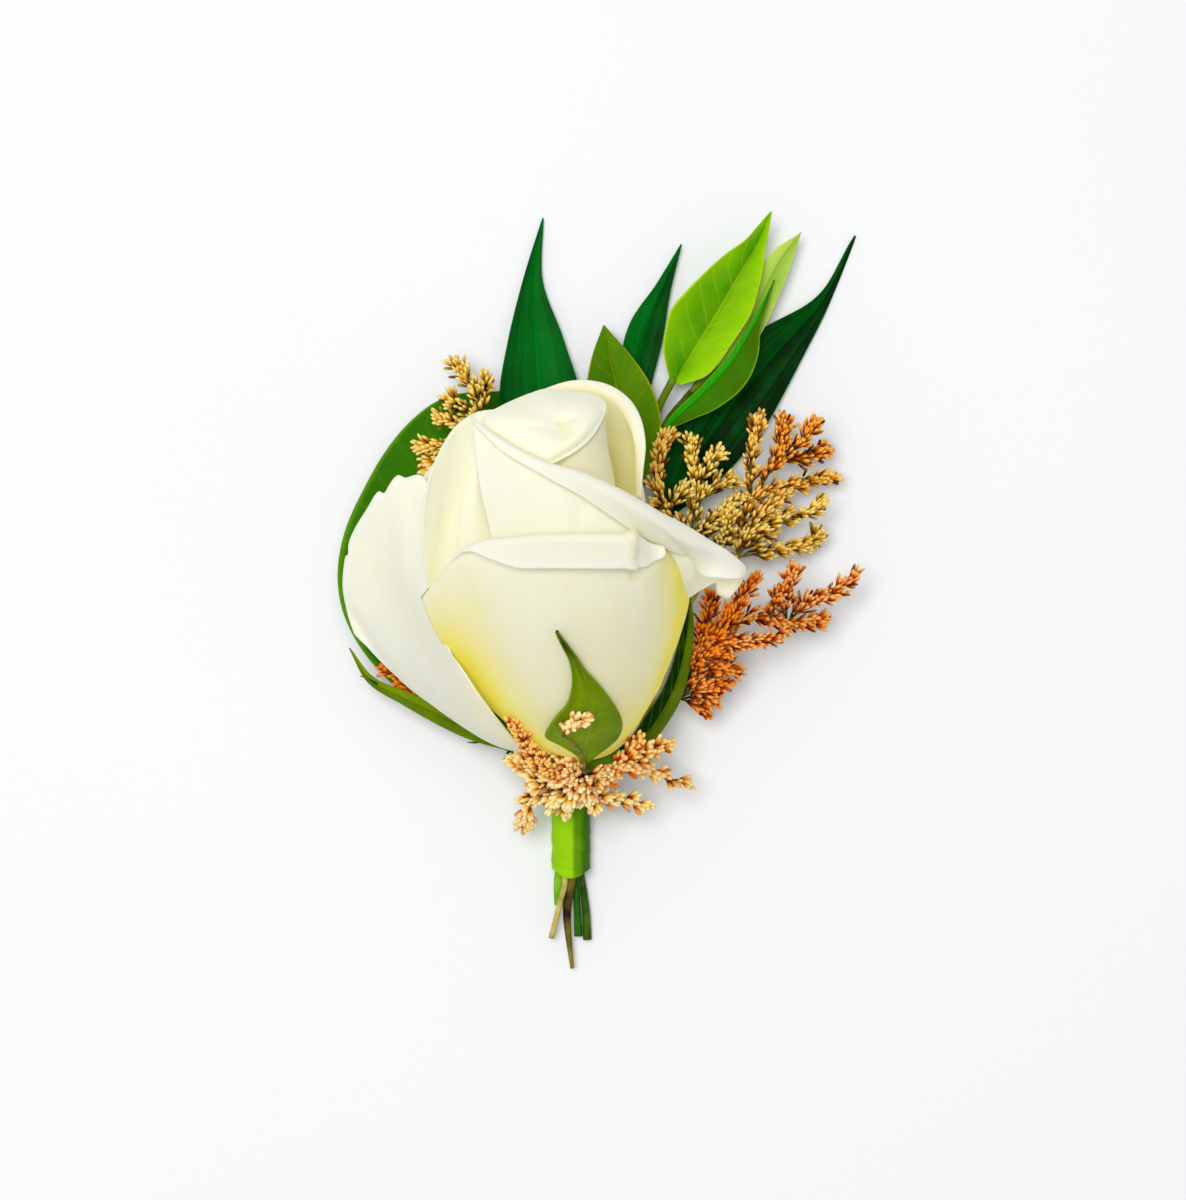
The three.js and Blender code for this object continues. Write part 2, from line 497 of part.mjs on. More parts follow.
const LOWER_RIGHT = [
  [[12.6, -14.4, 9], [14.9, -15.3, 8], [17.3, -16.4, 7]],
  [[12.6, -14.4, 9], [17.6, -12.3, 10], [19.7, -12.9, 9]],
  [[12.6, -14.4, 9], [17.4, -10.8, 11], [22.1, -10, 10]],
  [[14, -11.5, 11], [15.4, -8.7, 14], [18.7, -7, 15]],
  [[12.6, -14.4, 9], [15.6, -7.3, 13], [22.3, -2.6, 12], [28.3, -3.4, 10], [34.8, -2.9, 9]],
  [[17.6, -5.8, 13], [22.2, -6.1, 14], [28.7, -5.1, 13]],
  [[28.6, -3.2, 10], [31.6, -0.3, 11], [34.7, 0.9, 11], [39.5, 4.4, 10]],
  [[28.3, -3.1, 10], [28.4, 1.6, 13], [29.4, 4.9, 14]],
  [[25.9, -2.9, 11], [26.5, 0, 14], [27.6, 2, 15]],
  [[15.6, -7.3, 13], [16.6, -2.9, 14], [17.4, 1.2, 13]],
  [[19.2, -4.7, 13], [21, -0.7, 15], [23.8, 4.1, 14]],
];
const UPPER_LEFT = [
  [[-16.1, 25.9, 6], [-16.9, 29.8, 8], [-18.7, 32.7, 8], [-20.8, 35.7, 7]],
  [[-16.7, 28.8, 7.5], [-15.9, 30.9, 9], [-15.4, 33.5, 9]],
  [[-16.3, 26.6, 6], [-19.3, 28.4, 8], [-21.8, 30.2, 8]],
  [[-16.1, 25.2, 6], [-20, 26.1, 8], [-23.6, 27.1, 8]],
  [[-16.4, 22.9, 6], [-21.8, 22.7, 8], [-26.5, 22.4, 8]],
  [[-16.4, 22.2, 6], [-21.4, 20.9, 8], [-25.5, 19.9, 8]],
];
const LOWER_LEFT = [
  [[-17, -17.6, 4.5], [-22, -15.6, 4.6], [-25.9, -13, 5], [-28.8, -10.9, 5], [-31.3, -9.5, 5]],
  [[-22, -15.6, 4.6], [-28.6, -15.2, 4.6], [-33.4, -14.3, 4.8]],
];
const NECK = [
  [[-1.3, -25.6, 14.5], [-0.4, -28.8, 13], [3.7, -29.1, 11], [8.8, -30.6, 9]],
  [[-1.3, -25.6, 14.5], [1.6, -25.4, 14.8], [4.2, -24.2, 15], [8, -24.8, 13], [14.8, -27.6, 9]],
  [[-1.3, -25.6, 14.5], [1.6, -25.4, 15], [4.6, -22.8, 16.2], [7.4, -19.6, 17]],
  [[4.2, -24.2, 15], [7.4, -22.4, 15], [11.8, -20.4, 14]],
  [[-1.3, -25.6, 14.5], [-8.6, -24.7, 13], [-12, -22.8, 12]],
  [[-2.6, -27, 12], [-8.5, -28.8, 11], [-9.7, -31.1, 10], [-9.9, -33.9, 8]],
  [[-2.6, -27, 12], [-3.9, -28.8, 12], [-3.8, -32, 10]],
  [[-3, -27, 12], [-5.5, -28.8, 12], [-6.3, -30.9, 10]],
  [[-2.6, -25.7, 14], [-5.4, -24.9, 17.4], [-8.2, -22.2, 21.6], [-11.3, -18.2, 28.8]],
  [[-1.3, -25.6, 14.5], [-2.6, -25.6, 20], [-4.2, -22.8, 27], [-4.6, -18.4, 34], [-0.3, -15.4, 37]],
  [[-1.3, -25.6, 14.5], [1, -25.6, 16], [2.7, -24.9, 20]],
  [[-2.2, -26.2, 13], [-7, -26.6, 14], [-9.5, -26.6, 13]],
  [[-1.6, -26.2, 13], [-0.4, -28, 15], [-1.9, -30, 13]],
];

// A spindle with three sides: its root is sunk in the twig
function floret(root, direction, length) {
  const away = Math.abs(direction.z) < 0.9 ? vec([0, 0, 1]) : vec([1, 0, 0]);
  const side = new THREE.Vector3().crossVectors(direction, away).normalize();
  const other = new THREE.Vector3().crossVectors(direction, side);
  const ring = [0, 120, 240].map((angle) => root.clone()
    .addScaledVector(direction, FLORET.belly * length)
    .addScaledVector(side, FLORET.radius * Math.cos(radians(angle)))
    .addScaledVector(other, FLORET.radius * Math.sin(radians(angle))));
  const tip = root.clone().addScaledVector(direction, length);
  const positions = [root, ...ring, tip].flatMap((p) => [...p]);
  return closed(positions, [0, 2, 1, 0, 3, 2, 0, 1, 3, 4, 1, 2, 4, 2, 3, 4, 3, 1]);
}

function branchFlorets(points, random) {
  const path = curve(points);
  const count = Math.max(2, Math.round(path.getLength() / FLORET.spacing));
  const florets = [];
  for (let k = 1; k <= count; k++) {
    const t = FLORET.first + (FLORET.last - FLORET.first) * (k / count);
    const ahead = path.getTangentAt(t);
    const turn = radians(between(random, FLORET.turn));
    const side = new THREE.Vector3().crossVectors(ahead, vec([0, 0, 1])).normalize();
    const up = new THREE.Vector3().crossVectors(side, ahead);
    const hand = k % 2 ? 1 : -1;
    const out = side.multiplyScalar(hand * Math.cos(turn)).addScaledVector(up, Math.sin(turn));
    const spread = k === count ? 0 : between(random, FLORET.spread);
    const direction = ahead.clone().addScaledVector(out, spread).normalize();
    const root = path.getPointAt(t).addScaledVector(direction, -FLORET.sink);
    florets.push(floret(root, direction, between(random, FLORET.length)));
  }
  return florets;
}

// Florets that would touch a neighbour are left out
function makeSpray(stems, branches, seed, neighbours) {
  const random = randomFrom(seed);
  const twigs = branches.map((points) => stem(points, TWIG, 3, points.length));
  const florets = branches.flatMap((points) => branchFlorets(points, random));
  const clear = florets.filter((piece) => !neighbours.some((other) => touches(piece, other)));
  return fuse([...stems, ...twigs, ...clear]);
}

// The tape is an open sleeve: its bore is larger than the bundle by a small clearance
function makeTape() {
  const ring = (radius, y) => Array.from({ length: TAPE_SIDES }, (_, i) => {
    const angle = (2 * Math.PI * (i + 0.5)) / TAPE_SIDES;
    return new THREE.Vector3(TAPE_X + radius * Math.sin(angle), y, BUNDLE_Z + radius * Math.cos(angle));
  });
  const bore = TAPE_RADIUS - TAPE_WALL;
  const outside = stack([ring(TAPE_RADIUS, TAPE_END), ring(TAPE_RADIUS, TAPE_TOP)]);
  return outside.subtract(stack([ring(bore, TAPE_END - 1), ring(bore, TAPE_TOP + 1)]));
}

// The assembly
const group = new THREE.Group();
group.position.set(...SHIFT);

function add(name, body, color, roughness) {
  const geometry = outerShell(body);
  geometry.computeVertexNormals();
  const mesh = new THREE.Mesh(geometry, new THREE.MeshStandardMaterial({ color, roughness, metalness: 0 }));
  mesh.name = name;
  group.add(mesh);
  return body;
}

const bloom = add('rose_bloom', makeBloom(), 0xf6f4e2, 0.55);
const roseStem = add('rose_stem_calyx', makeRoseStem(), 0x5f8a1e, 0.5);
const broadLeaf = add('broad_leaf', makeBroadLeaf(), 0x2f6b12, 0.4);
const darkSprig = add('dark_sprig', makeDarkSprig(), 0x0b3d14, 0.35);
const lightSprig = add('light_sprig', makeLightSprig(), 0x6ba414, 0.4);
const tape = add('tape_wrap', makeTape(), 0x5fae10, 0.45);

const others = [bloom, roseStem, broadLeaf, darkSprig, lightSprig, tape];
const sprays = [
  ['spray_upper_right', UPPER_RIGHT, 11, [
    thinStem(90, [[21.4, 6.3, 7], [16, 2, 4.6], [11, -8, 3.4], [7.2, -19, 3.3], [2.4, -26, 3.1]], flush(90)),
    stem([[12.6, -5, 3.7], [14, 3, 4.8], [14.4, 8.9, 6]], THIN_STEM, 6, 6),
    stem([[14.4, 8.9, 6], [18.2, 7.4, 6.6], [21.4, 6.3, 7]], TWIG, 4, 4)]],
  ['spray_lower_right', LOWER_RIGHT, 23, [
    thinStem(45, [[12.6, -14.4, 9], [9.6, -19, 6.9], [6, -23.4, 5.6], [1.8, -26.8, 4.9]], flush(45))]],
  ['spray_upper_left', UPPER_LEFT, 37, [
    thinStem(315, [[-16.1, 25.9, 6], [-14.6, 15, 4.6], [-12.6, 0, 4.2], [-9.6, -16, 4.3], [-6.6, -25, 4.4]],
      [[-4.9, -43, 3.4], [-6.2, -49.4, 2.6]])]],
  ['spray_lower_left', LOWER_LEFT, 41, [
    thinStem(270, [[-17, -17.6, 4.5], [-12, -21, 4.4], [-7.6, -26, 3.6]], flush(270))]],
  ['spray_neck', NECK, 53, [
    thinStem(0, [[-1.3, -25.6, 14.5], [-2.4, -26.4, 12.6], [-3.6, -26.8, 9.4], [-3.8, -27.6, 6.6]], flush(0)),
    stem([[-1.3, -25.6, 14.5], [-2, -26, 13.4], [-3, -27, 12]], TWIG, 4, 3)]],
];
for (const [name, branches, seed, stems] of sprays) {
  others.push(add(name, makeSpray(stems, branches, seed, others), 0xd9a35a, 0.8));
}

export default group;
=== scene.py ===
"""A white-rose boutonniere: rose, leaves, dried filler and taped stems, laid on a pale table."""
import functools
import math
import random

import bmesh
import bpy
from bpy.props import FloatProperty, FloatVectorProperty, IntProperty, PointerProperty
from mathutils import Matrix, Vector, noise


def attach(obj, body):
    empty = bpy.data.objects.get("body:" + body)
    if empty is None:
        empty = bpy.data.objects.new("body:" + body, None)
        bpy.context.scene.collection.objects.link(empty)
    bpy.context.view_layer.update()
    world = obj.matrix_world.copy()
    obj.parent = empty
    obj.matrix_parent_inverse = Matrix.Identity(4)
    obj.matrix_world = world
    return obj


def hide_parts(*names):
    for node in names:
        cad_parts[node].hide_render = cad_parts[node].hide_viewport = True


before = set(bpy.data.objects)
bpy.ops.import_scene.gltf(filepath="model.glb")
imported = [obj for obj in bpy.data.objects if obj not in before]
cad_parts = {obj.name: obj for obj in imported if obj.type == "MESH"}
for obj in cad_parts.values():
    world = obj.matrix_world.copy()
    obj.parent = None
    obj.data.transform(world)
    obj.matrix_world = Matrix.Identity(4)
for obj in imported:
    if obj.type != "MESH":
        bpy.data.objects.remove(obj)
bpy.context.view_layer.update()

bl_info = {
    "name": "White-rose boutonniere",
    "version": (1, 0, 0),
    "blender": (4, 5, 0),
    "location": "View3D > Sidebar > Boutonniere",
    "description": "Builds a rose boutonniere piece by piece",
    "category": "Add Mesh",
}

# Sizes are in millimetres up to metres(), which also centres the boutonniere on its footprint
MM = 0.001
SHIFT = Vector((-1.8, -1.3, 0))
UP = Vector((0, 0, 1))
STEP = 0.01  # a small step along a curve, to find its heading

# The rose: its claws stand in a ring round the foot of an axis that leans to the side and rises
ROSE_BASE = Vector((-0.15, -21.17, 9))
ROSE_LEAN = math.radians(-7)
ROSE_TILT = math.radians(28)
CLAW_RADIUS = 4
SEEN_GRID = (100, 72)  # points across and up a petal
HIDDEN_GRID = (40, 32)
HIDDEN_PETALS = ("side_right", "back_under", "back_left")
FACE_SHARE = 0.7  # of a rolled petal's rows; the rest are its lip

# Leaves
LEAF_REST = 0.16  # how near the table the middle of a leaf or petal may come
LEAST_REACH = 0.05  # half the width of a leaf's thinnest place
SIDE_VEINS = 13  # as they fold the blade
VEIN_SLANT = 1.6  # how many veins a side vein passes on its way to the margin

# The tape and the thin stems, which stand in a ring round the rose's stem inside it
TAPE_X = -3.3
TAPE_TOP = -30.2
TAPE_END = -40
TAPE_RADIUS = 2.8
BUNDLE_Z = 2.746
RING = 1.71  # from the middle of the rose's stem to theirs
THIN_STEM = 0.42

# The filler
TWIG = 0.2
TWIG_SPACING = 1.15  # from one side twig to the next along a branch
SIDE_TWIG = 1.9  # how far a side twig reaches
TWIG_ROWS = 2  # of florets round a side twig
BARE_BRANCH = 0.12  # the share of a branch that bears no florets
BARE_TWIG = 0.3
DRAWN_BACK = 0.6  # of a floret's length, which stands out past a branch's end
NECK_GIRTH = 1.3  # how much stouter the florets at the neck are
PALE_BY_GIRTH = 1.8  # the filler's thicker stems are the paler ones

# The stage: the viewer's eye in millimetres, the table and the window light in metres
VIEW_HEIGHT = 450
TABLE_REACH = 0.8
WINDOW_PLACE = Vector((-0.16, 0.12, 1.1))
WINDOW_SIZE = 0.5

# The petals: from the claw over a foot and a belly to the rim, left edge to right edge, each point
# as azimuth, radius and height on the rose's own axis. A rolled petal goes on past its rim: roll is how
# far its lip turns, bend how widely, and hem how far it then runs on. tint is the yellow from the claw
# up: the petal's own yellow at its foot, along with painted shade deeper in the rose. flanks is a
# yellow of painted shade at its left and right edges. nicks are cut into the rim and bites into the
# right margin: where, how wide and how deep
PETALS = {
    "outer_left": dict(
        claw=(-85, -62),
        foot=[(-88, 16, 1.8), (-74, 17.5, 2), (-36.3, 18.3, 5.1)],
        belly=[(-99, 27, 11), (-84, 29.5, 14.5), (-37.5, 24.1, 26.2)],
        rim=[(-94, 31.9, 21.7), (-95, 32.8, 26.6), (-94, 32.2, 32.2), (-94, 30.1, 37.9), (-93, 25.9, 43.3),
             (-92, 21.8, 45.9), (-89, 18.6, 46.4), (-79, 17.6, 41), (-70, 19.3, 33), (-63.75, 21.5, 25.8)],
        nicks=[(0.285, 0.012, 0.012), (0.45, 0.03, -0.008), (0.48, 0.014, 0.008), (0.53, 0.03, -0.012)],
        tint=(0.3, 0.12, 0.06, 0.04, 0.02), flanks=(0, 0.1)),
    "second_left": dict(
        claw=(-80, -20),
        foot=[(-73, 17, 9), (-50, 15, 7), (-30, 10, 10)],
        belly=[(-51, 28.5, 36), (-40, 26, 34), (-18, 20, 38)],
        rim=[(-70, 18.4, 50.1), (-78, 14.4, 53.8), (-86, 10.9, 55.2), (-93, 8.2, 55.1), (-97, 6.2, 54.7)],
        tint=(0.6, 0.5, 0.3, 0.12, 0.05), flanks=(-0.1, 0.1)),
    "bud_left": dict(
        claw=(-60, 20),
        foot=[(-55, 13, 14), (-30, 13, 10), (0, 10, 10)],
        belly=[(-39, 30, 39), (-26, 25, 40), (-8, 19, 42)],
        rim=[(-52, 12.6, 53.4), (-52, 11.5, 54.7), (-57, 9.6, 55.2), (-59, 7.4, 54.5)],
        tint=(0.7, 0.6, 0.45, 0.15, 0.05), flanks=(-0.1, 0.1)),
    "diagonal": dict(
        claw=(-40, 62),
        foot=[(-50, 14, 14), (0, 13, 8), (41, 9.8, 12.8)],
        belly=[(-8, 26, 42), (2, 25, 38), (28, 24, 34), (58, 20, 30), (70.9, 9.4, 26.9)],
        rim=[(-51, 13.3, 57.6), (-40.7, 13.5, 56.4), (-30, 13.8, 55.2), (-17.8, 14.4, 53.9), (-6, 15.1, 52.6),
             (3.7, 15.9, 51.6), (12, 16.8, 50.6), (19, 18, 49.4), (25, 19.2, 48.1), (30.2, 20.4, 46.9),
             (35, 21.7, 45.5), (39.6, 23, 43.8), (44, 24.3, 41.9), (48.9, 25.8, 39.6), (53.2, 27.4, 37.3),
             (57.9, 28.3, 33.5), (57, 25.4, 28.8)],
        roll=(120, 165, 185, 195, 197, 196, 190, 120, 10),
        bend=(0.7, 0.8, 0.9, 1, 1.1, 1.1, 1, 0.8, 0.5),
        hem=(0.3, 0.8, 1.2, 2.4, 4.4, 5.8, 6, 3, 0), bites=[(0.9, 0.035, 0.025), (0.84, 0.07, 0.035)],
        tint=(0.5, 0.35, 0.2, 0.05, 0.02, 0.02), flanks=(0, 0.05)),
    "front_low": dict(
        claw=(-75, 85),
        foot=[(-62.8, 13.3, 5.5), (-10, 12.5, 3.2), (40, 9.5, 4), (75, 7, 5)],
        belly=[(-58.5, 22, 22.5), (-8, 27, 21), (35, 24, 24), (90, 15.6, 17.4)],
        rim=[(-60.3, 23.8, 33.8), (-45, 22.9, 40), (-32, 22.4, 43.9), (-17, 22.2, 45.3), (-3, 21.8, 45.3),
             (10, 22.4, 44.9), (23, 23.2, 43.8), (33, 22.9, 40.7), (46, 20.5, 35), (66, 17.4, 27.3)],
        roll=(0, 15, 40, 90, 140, 165, 176, 178, 178, 178, 178, 178, 178, 176, 80, 20, 5, 0, 0),
        bend=(0.5, 0.6, 0.8, 0.9, 0.9, 0.9, 0.9, 0.7, 0.5, 0.5),
        hem=(0, 0, 0, 0.2, 0.5, 1.8, 3.2, 3.6, 3.8, 3.9, 4, 4.1, 4.2, 2.6, 0.2, 0, 0, 0, 0),
        tint=(1.2, 0.9, 0.4, 0.2, 0.12, 0.02), flanks=(1, 1.3)),
    "back_right": dict(
        claw=(70, 230),
        foot=[(84, 6.8, 4.4), (149, 8, 6.3), (234, 7.7, 6.3)],
        belly=[(104, 13.4, 18.5), (147, 17.2, 26.3), (241, 17, 26.2)],
        rim=[(104, 10.9, 37), (107, 11.8, 44.9), (119, 11.9, 49.4), (135, 11, 51.8), (160, 10, 52.6),
             (187, 9.3, 52.1), (215, 7.5, 52), (241, 6.5, 51)],
        roll=(110, 110, 80, 50, 40), bend=(1.2, 1),
        tint=(0.3, 0.3, 0.36, 0.38, 0.25, 0)),
    "inner_right": dict(
        claw=(0, 120),
        foot=[(10, 8, 14), (60, 9, 14), (100.6, 10.5, 14.9)],
        belly=[(0, 12.5, 44), (40, 11, 46), (68.8, 5.5, 52.8)],
        rim=[(-25.4, 11.6, 50.6), (3.3, 11, 51.9), (28, 9.9, 52.7), (54, 8.5, 53.4), (73.8, 8.1, 54.3)],
        tint=(0.5, 0.5, 0.4, 0.35, 0.2)),
    "side_right": dict(
        claw=(40, 160),
        foot=[(45, 9, 4), (95, 9.5, 4), (150, 9, 4)],
        belly=[(50, 15, 17), (95, 14.4, 17), (145, 14, 19)],
        rim=[(52, 14.4, 28), (80, 12.4, 28), (110, 12, 30), (145, 12, 33)],
        roll=(60, 70, 60), bend=(1.2, 1.2),
        tint=(0.6, 0.2, 0.05, 0.03, 0)),
    "back_under": dict(
        claw=(130, 250),
        foot=[(135, 8.5, 5), (190, 8.5, 5), (245, 8.5, 5)],
        belly=[(135, 15.5, 22), (190, 15.5, 24), (245, 16, 22)],
        rim=[(138, 13, 42), (165, 12, 47), (190, 11.5, 48.5), (215, 12, 48), (242, 13, 44)],
        roll=(60, 60), bend=(1.2, 1.2),
        tint=(0.6, 0.2, 0.05, 0.03, 0)),
    "back_left": dict(
        claw=(-175, -95),
        foot=[(-172, 8, 4), (-135, 10, 3), (-98, 12, 2.5)],
        belly=[(-172, 15.5, 20), (-140, 18, 19), (-105, 24, 16)],
        rim=[(-168, 14, 42), (-145, 16, 44), (-120, 18, 44), (-100, 20, 42)],
        roll=(60, 60), bend=(1.2, 1.2),
        tint=(0.6, 0.2, 0.05, 0.03, 0)),
}

# Creases and swells pressed into a petal, as seen from above: a line, its half width, how far it
# stands up, and the yellow that it adds, which is painted shade in the creases
CREASES = {
    "diagonal": [
        ([(-2.1, 13.4), (-2.3, 11), (-1.8, 9.2)], 1.1, -0.3, 0.05),
        ([(-18, 26.6), (-15.6, 24.4), (-13.4, 22)], 0.9, 0.35, 0.08),
        ([(4, 15), (10, 10), (15, 7)], 1.6, -0.2, 0.03),
    ],
    "front_low": [
        ([(5.9, 9.6), (5.6, 6.4), (6.2, 3.2)], 0.55, -1, 0.16),
        ([(8.4, 8.4), (8.4, 4.6)], 1.7, 0.5, 0),
        ([(13, -8), (12, -13), (9, -18)], 1.2, -0.2, 0.25),
        ([(12.5, -3), (11.8, -7.5), (10.2, -12)], 0.3, -0.06, 0.3),
        ([(11.2, -6), (10.5, -9.5), (8.9, -13.5)], 0.25, -0.05, 0.25),
    ],
    "outer_left": [
        ([(-33, 8), (-31, 0), (-27, -8)], 2.4, -0.45, 0.02),
        ([(-29, 14), (-27.6, 4), (-22, -8)], 1.6, 0.3, 0),
    ],
    "second_left": [([(-22, 12), (-23.4, 4), (-22.6, -3)], 1.2, -0.25, 0.1)],
    "hood": [
        ([(-4.9, 26.6), (-4, 27), (-2.9, 27.4)], 0.5, -0.4, 0.06),
        ([(-4.3, 26), (-4, 24.9), (-3, 25.4)], 1.3, -0.5, 0.16),
        ([(-4.4, 27.7), (-3.6, 28), (-2.9, 27.8)], 0.4, 0.15, 0),
        ([(-9.5, 24), (-7, 22), (-5, 21.4)], 2.2, -0.25, 0.03),
    ],
}

# The hood of the bud: the closed margin of the folds over its top, and the heart that they turn to
HOOD = [(-6.5, 18.1, 45), (-3.6, 19.3, 44.5), (-1.5, 20.7, 43.5), (0.1, 22.4, 42), (1.2, 24.3, 40),
        (1.9, 26.4, 37.5), (1.4, 27.8, 35.3), (-0.3, 28.6, 34), (-2.4, 29, 33.4), (-4.4, 29.2, 33.2),
        (-6.5, 29.4, 33.5), (-8.7, 28.7, 34.5), (-10.9, 27.7, 36), (-12.9, 26.6, 37.8), (-14.5, 25.5, 39.5),
        (-15.3, 23.7, 41), (-13.3, 22, 42.5), (-11, 20.4, 43.8), (-8.8, 19.1, 44.6)]
HEART = Vector((-4.1, 23.5, 42.3))
# The bud's side, as radius and height from the foot up
BUD_WALL = [(0.2, 0.5), (4, 1), (7, 10), (8, 22), (7.4, 34), (7, 44)]
HOOD_SWELL = 2.4  # how high the folds arch between the margin and the heart

# Leaves and sepals: a spine, half widths along it (left where that side has its own), the way the
# blade faces, a fold that lifts both edges, an arch that drops them, a wave along them, a tint for each
# side, which paints one half lit and the other in shade, and an edge light, painted light that brightens
# them towards the edges (where it is below 0, painted shade that darkens them)
BROAD_LEAF = dict(
    spine=[(-6.1, -25.4, 1), (-13.4, -17.9, 0.7), (-20.1, -8.8, 0.4), (-23.4, 2.2, 0.3), (-21.8, 14, 0.4),
           (-18.3, 24.6, 0.4), (-13.4, 31.1, 0.5)],
    half=(0.5, 6.5, 11.3, 14.7, 12.7, 8.2, 0.4), left=(0.5, 4.2, 10.2, 14.7, 12.7, 8.2, 0.4),
    fold=0.06, wave=0.3, tint=(0.55, 0.35))
DARK_LEAVES = [
    dict(spine=[(-4.6, 12, 1.8), (-6, 20.2, 1.8), (-7.8, 29.4, 1.6), (-8.6, 38.7, 1.2), (-9, 47.8, 0.9),
                (-7.5, 57.2, 0.6)],
         half=(0.4, 4.6, 6.1, 4.2, 1.5, 0.1), fold=0.12, tint=(0.55, 0.75), glow=-0.4),
    dict(spine=[(3.7, 19.4, 1.6), (5, 26.2, 1.2), (6.3, 33.2, 1), (7.9, 40.2, 1), (10.5, 46.7, 1.2),
                (13.2, 53.2, 1.4)],
         half=(0.4, 2.2, 2.6, 2.7, 1.2, 0.1), fold=0.12, tint=(0.75, 0.4)),
    dict(spine=[(9.3, 11.2, 1.8), (14.1, 19.7, 1.2), (20.2, 28.8, 0.8), (27.2, 37, 0.6), (34.4, 44.8, 0.4),
                (39.3, 54.6, 0.35)],
         half=(0.4, 4.7, 6.2, 4.2, 1.1, 0.1), fold=0.12, wave=0.2, tint=(0.3, 0.05)),
]
OLIVE_LEAF = dict(
    spine=[(5.8, 15.6, 3.8), (5.8, 20.1, 4.5), (5.1, 25.4, 5), (3.7, 30.8, 5.2), (2.5, 36, 4.9),
           (1.6, 40.8, 4.4)],
    half=(0.4, 3.3, 5.1, 4.9, 2.9, 0.1), fold=0.12, tint=(0.15, 0.3))
BRIGHT_LEAF = dict(
    spine=[(12, 32.4, 5), (15.1, 37.2, 5.8), (18.2, 42.1, 6.4), (21.1, 47.2, 6.6), (24, 52.2, 6.3),
           (26.4, 57.5, 5.6)],
    half=(1, 3.4, 4.1, 4.2, 4.3, 4.3, 3.7, 2.8, 1.6, 0.8, 0.05),
    left=(0.8, 3.7, 5.2, 6.1, 5.8, 5.1, 4.2, 3.2, 1.9, 1, 0.05),
    fold=0.1, wave=0.2, tint=(0.3, 0.72), glow=0.5)
PALE_LEAF = dict(
    spine=[(17.7, 33.9, 2.6), (20.9, 36.9, 2.9), (23.3, 41.5, 3.4), (25.5, 46.1, 3.8), (28, 50.7, 4),
           (30.9, 54.6, 4)],
    half=(0.4, 1.8, 2.4, 2.3, 1.7, 0.05), fold=0.12, tint=(0.75, 0.45), glow=0.3)
FOLDED_LEAF = dict(
    spine=[(10.4, 25.2, 4.6), (13.8, 28.2, 5.2), (17.2, 31.4, 5.8), (20.6, 35.3, 6.2), (23.8, 40.7, 6),
           (26.9, 47.5, 4.8)],
    half=(0.2, 1, 1.8, 2.7, 3.3, 3.6, 3.4, 2.6, 1.1, 0.5, 0.05),
    left=(0.2, 0.8, 1, 1, 1, 1, 0.9, 0.8, 0.6, 0.3, 0.05), fold=0.3, tint=(1, 0.15))
SEPALS = [
    dict(spine=[(2.5, -23.6, 7.6), (6.4, -21.4, 9.6), (9.6, -17.2, 11.9), (11.8, -12.9, 14.4),
                (13.1, -8, 16.7), (13.7, -3.4, 18.4), (13.7, 1.4, 20)],
         half=(1, 1.7, 2, 1.8, 1.4, 0.9, 0.1), face=(0.5, -0.25, 0.83), arch=0.1, tint=(0, 0.45)),
    dict(spine=[(-2.5, -24, 8), (-6.5, -22.6, 7.7), (-11.9, -20.9, 7.4), (-17.4, -19.3, 7.2),
                (-22.6, -16.9, 7.1), (-27.8, -14.5, 7), (-32.8, -11.8, 7.2), (-35.9, -7.1, 7.8)],
         half=(1, 1.1, 1.4, 1.5, 1.5, 1, 0.6, 0.1), fold=0.1, tint=(0.4, 0.7)),
    dict(spine=[(1, -22.5, 6), (3, -18.6, 4.6), (5.2, -13, 5), (6.4, -8.5, 6)],
         half=(1, 2, 1.2, 0.2), face=(0.1, -0.4, -0.9), arch=0.1, tint=(0.4, 0.4)),
    dict(spine=[(-1.5, -22.5, 6), (-3.6, -18.6, 4.2), (-5.6, -13, 3.8), (-6.6, -9, 4)],
         half=(1, 2, 1.2, 0.2), face=(-0.1, -0.4, -0.9), arch=0.1, tint=(0.4, 0.4)),
]
# Small side lobes of the left sepal, from its margin outwards
BARBS = [
    [(-31.8, -12.4, 7.2), (-33.2, -11.6, 7.2), (-34.4, -11.2, 7.3)],
    [(-15.6, -20.4, 7.2), (-17.2, -21, 7.2), (-18.6, -21, 7.2)],
    [(-11.6, -21.6, 7.3), (-12.6, -22.6, 7.3), (-13.2, -23.6, 7.3)],
]
# The front sepal lies on the lowest front petal: its left and right edges in that petal's own u and v
FRONT_SEPAL = dict(
    left=[(0.37, 0.02), (0.366, 0.16), (0.361, 0.29), (0.316, 0.392), (0.276, 0.447), (0.3, 0.508),
          (0.329, 0.555), (0.362, 0.596), (0.379, 0.635), (0.389, 0.669), (0.394, 0.703), (0.394, 0.742),
          (0.387, 0.782), (0.382, 0.817)],
    right=[(0.389, 0.02), (0.395, 0.14), (0.43, 0.245), (0.486, 0.308), (0.519, 0.347), (0.529, 0.408),
           (0.518, 0.473), (0.494, 0.542), (0.471, 0.601), (0.45, 0.649), (0.428, 0.694), (0.415, 0.737),
           (0.4, 0.78), (0.386, 0.816)],
    lift=0.75)
# The hip's side, as radius and height
HIP = [(0.05, -5.6), (1, -5.4), (2.2, -4.6), (3.4, -3.4), (4.3, -2), (4.4, -1), (3.9, -0.5), (0.05, -0.2)]
ROSE_STEM_PATH = [(0.2, -24.2, 7.4), (-0.6, -25.5, 5.7), (-2.5, -26.9, 3.6), (TAPE_X, -28.6, BUNDLE_Z),
                  (TAPE_X, -32, BUNDLE_Z), (TAPE_X, -40.5, BUNDLE_Z), (-3.9, -47, 2.4), (-3.1, -55, 2.1)]

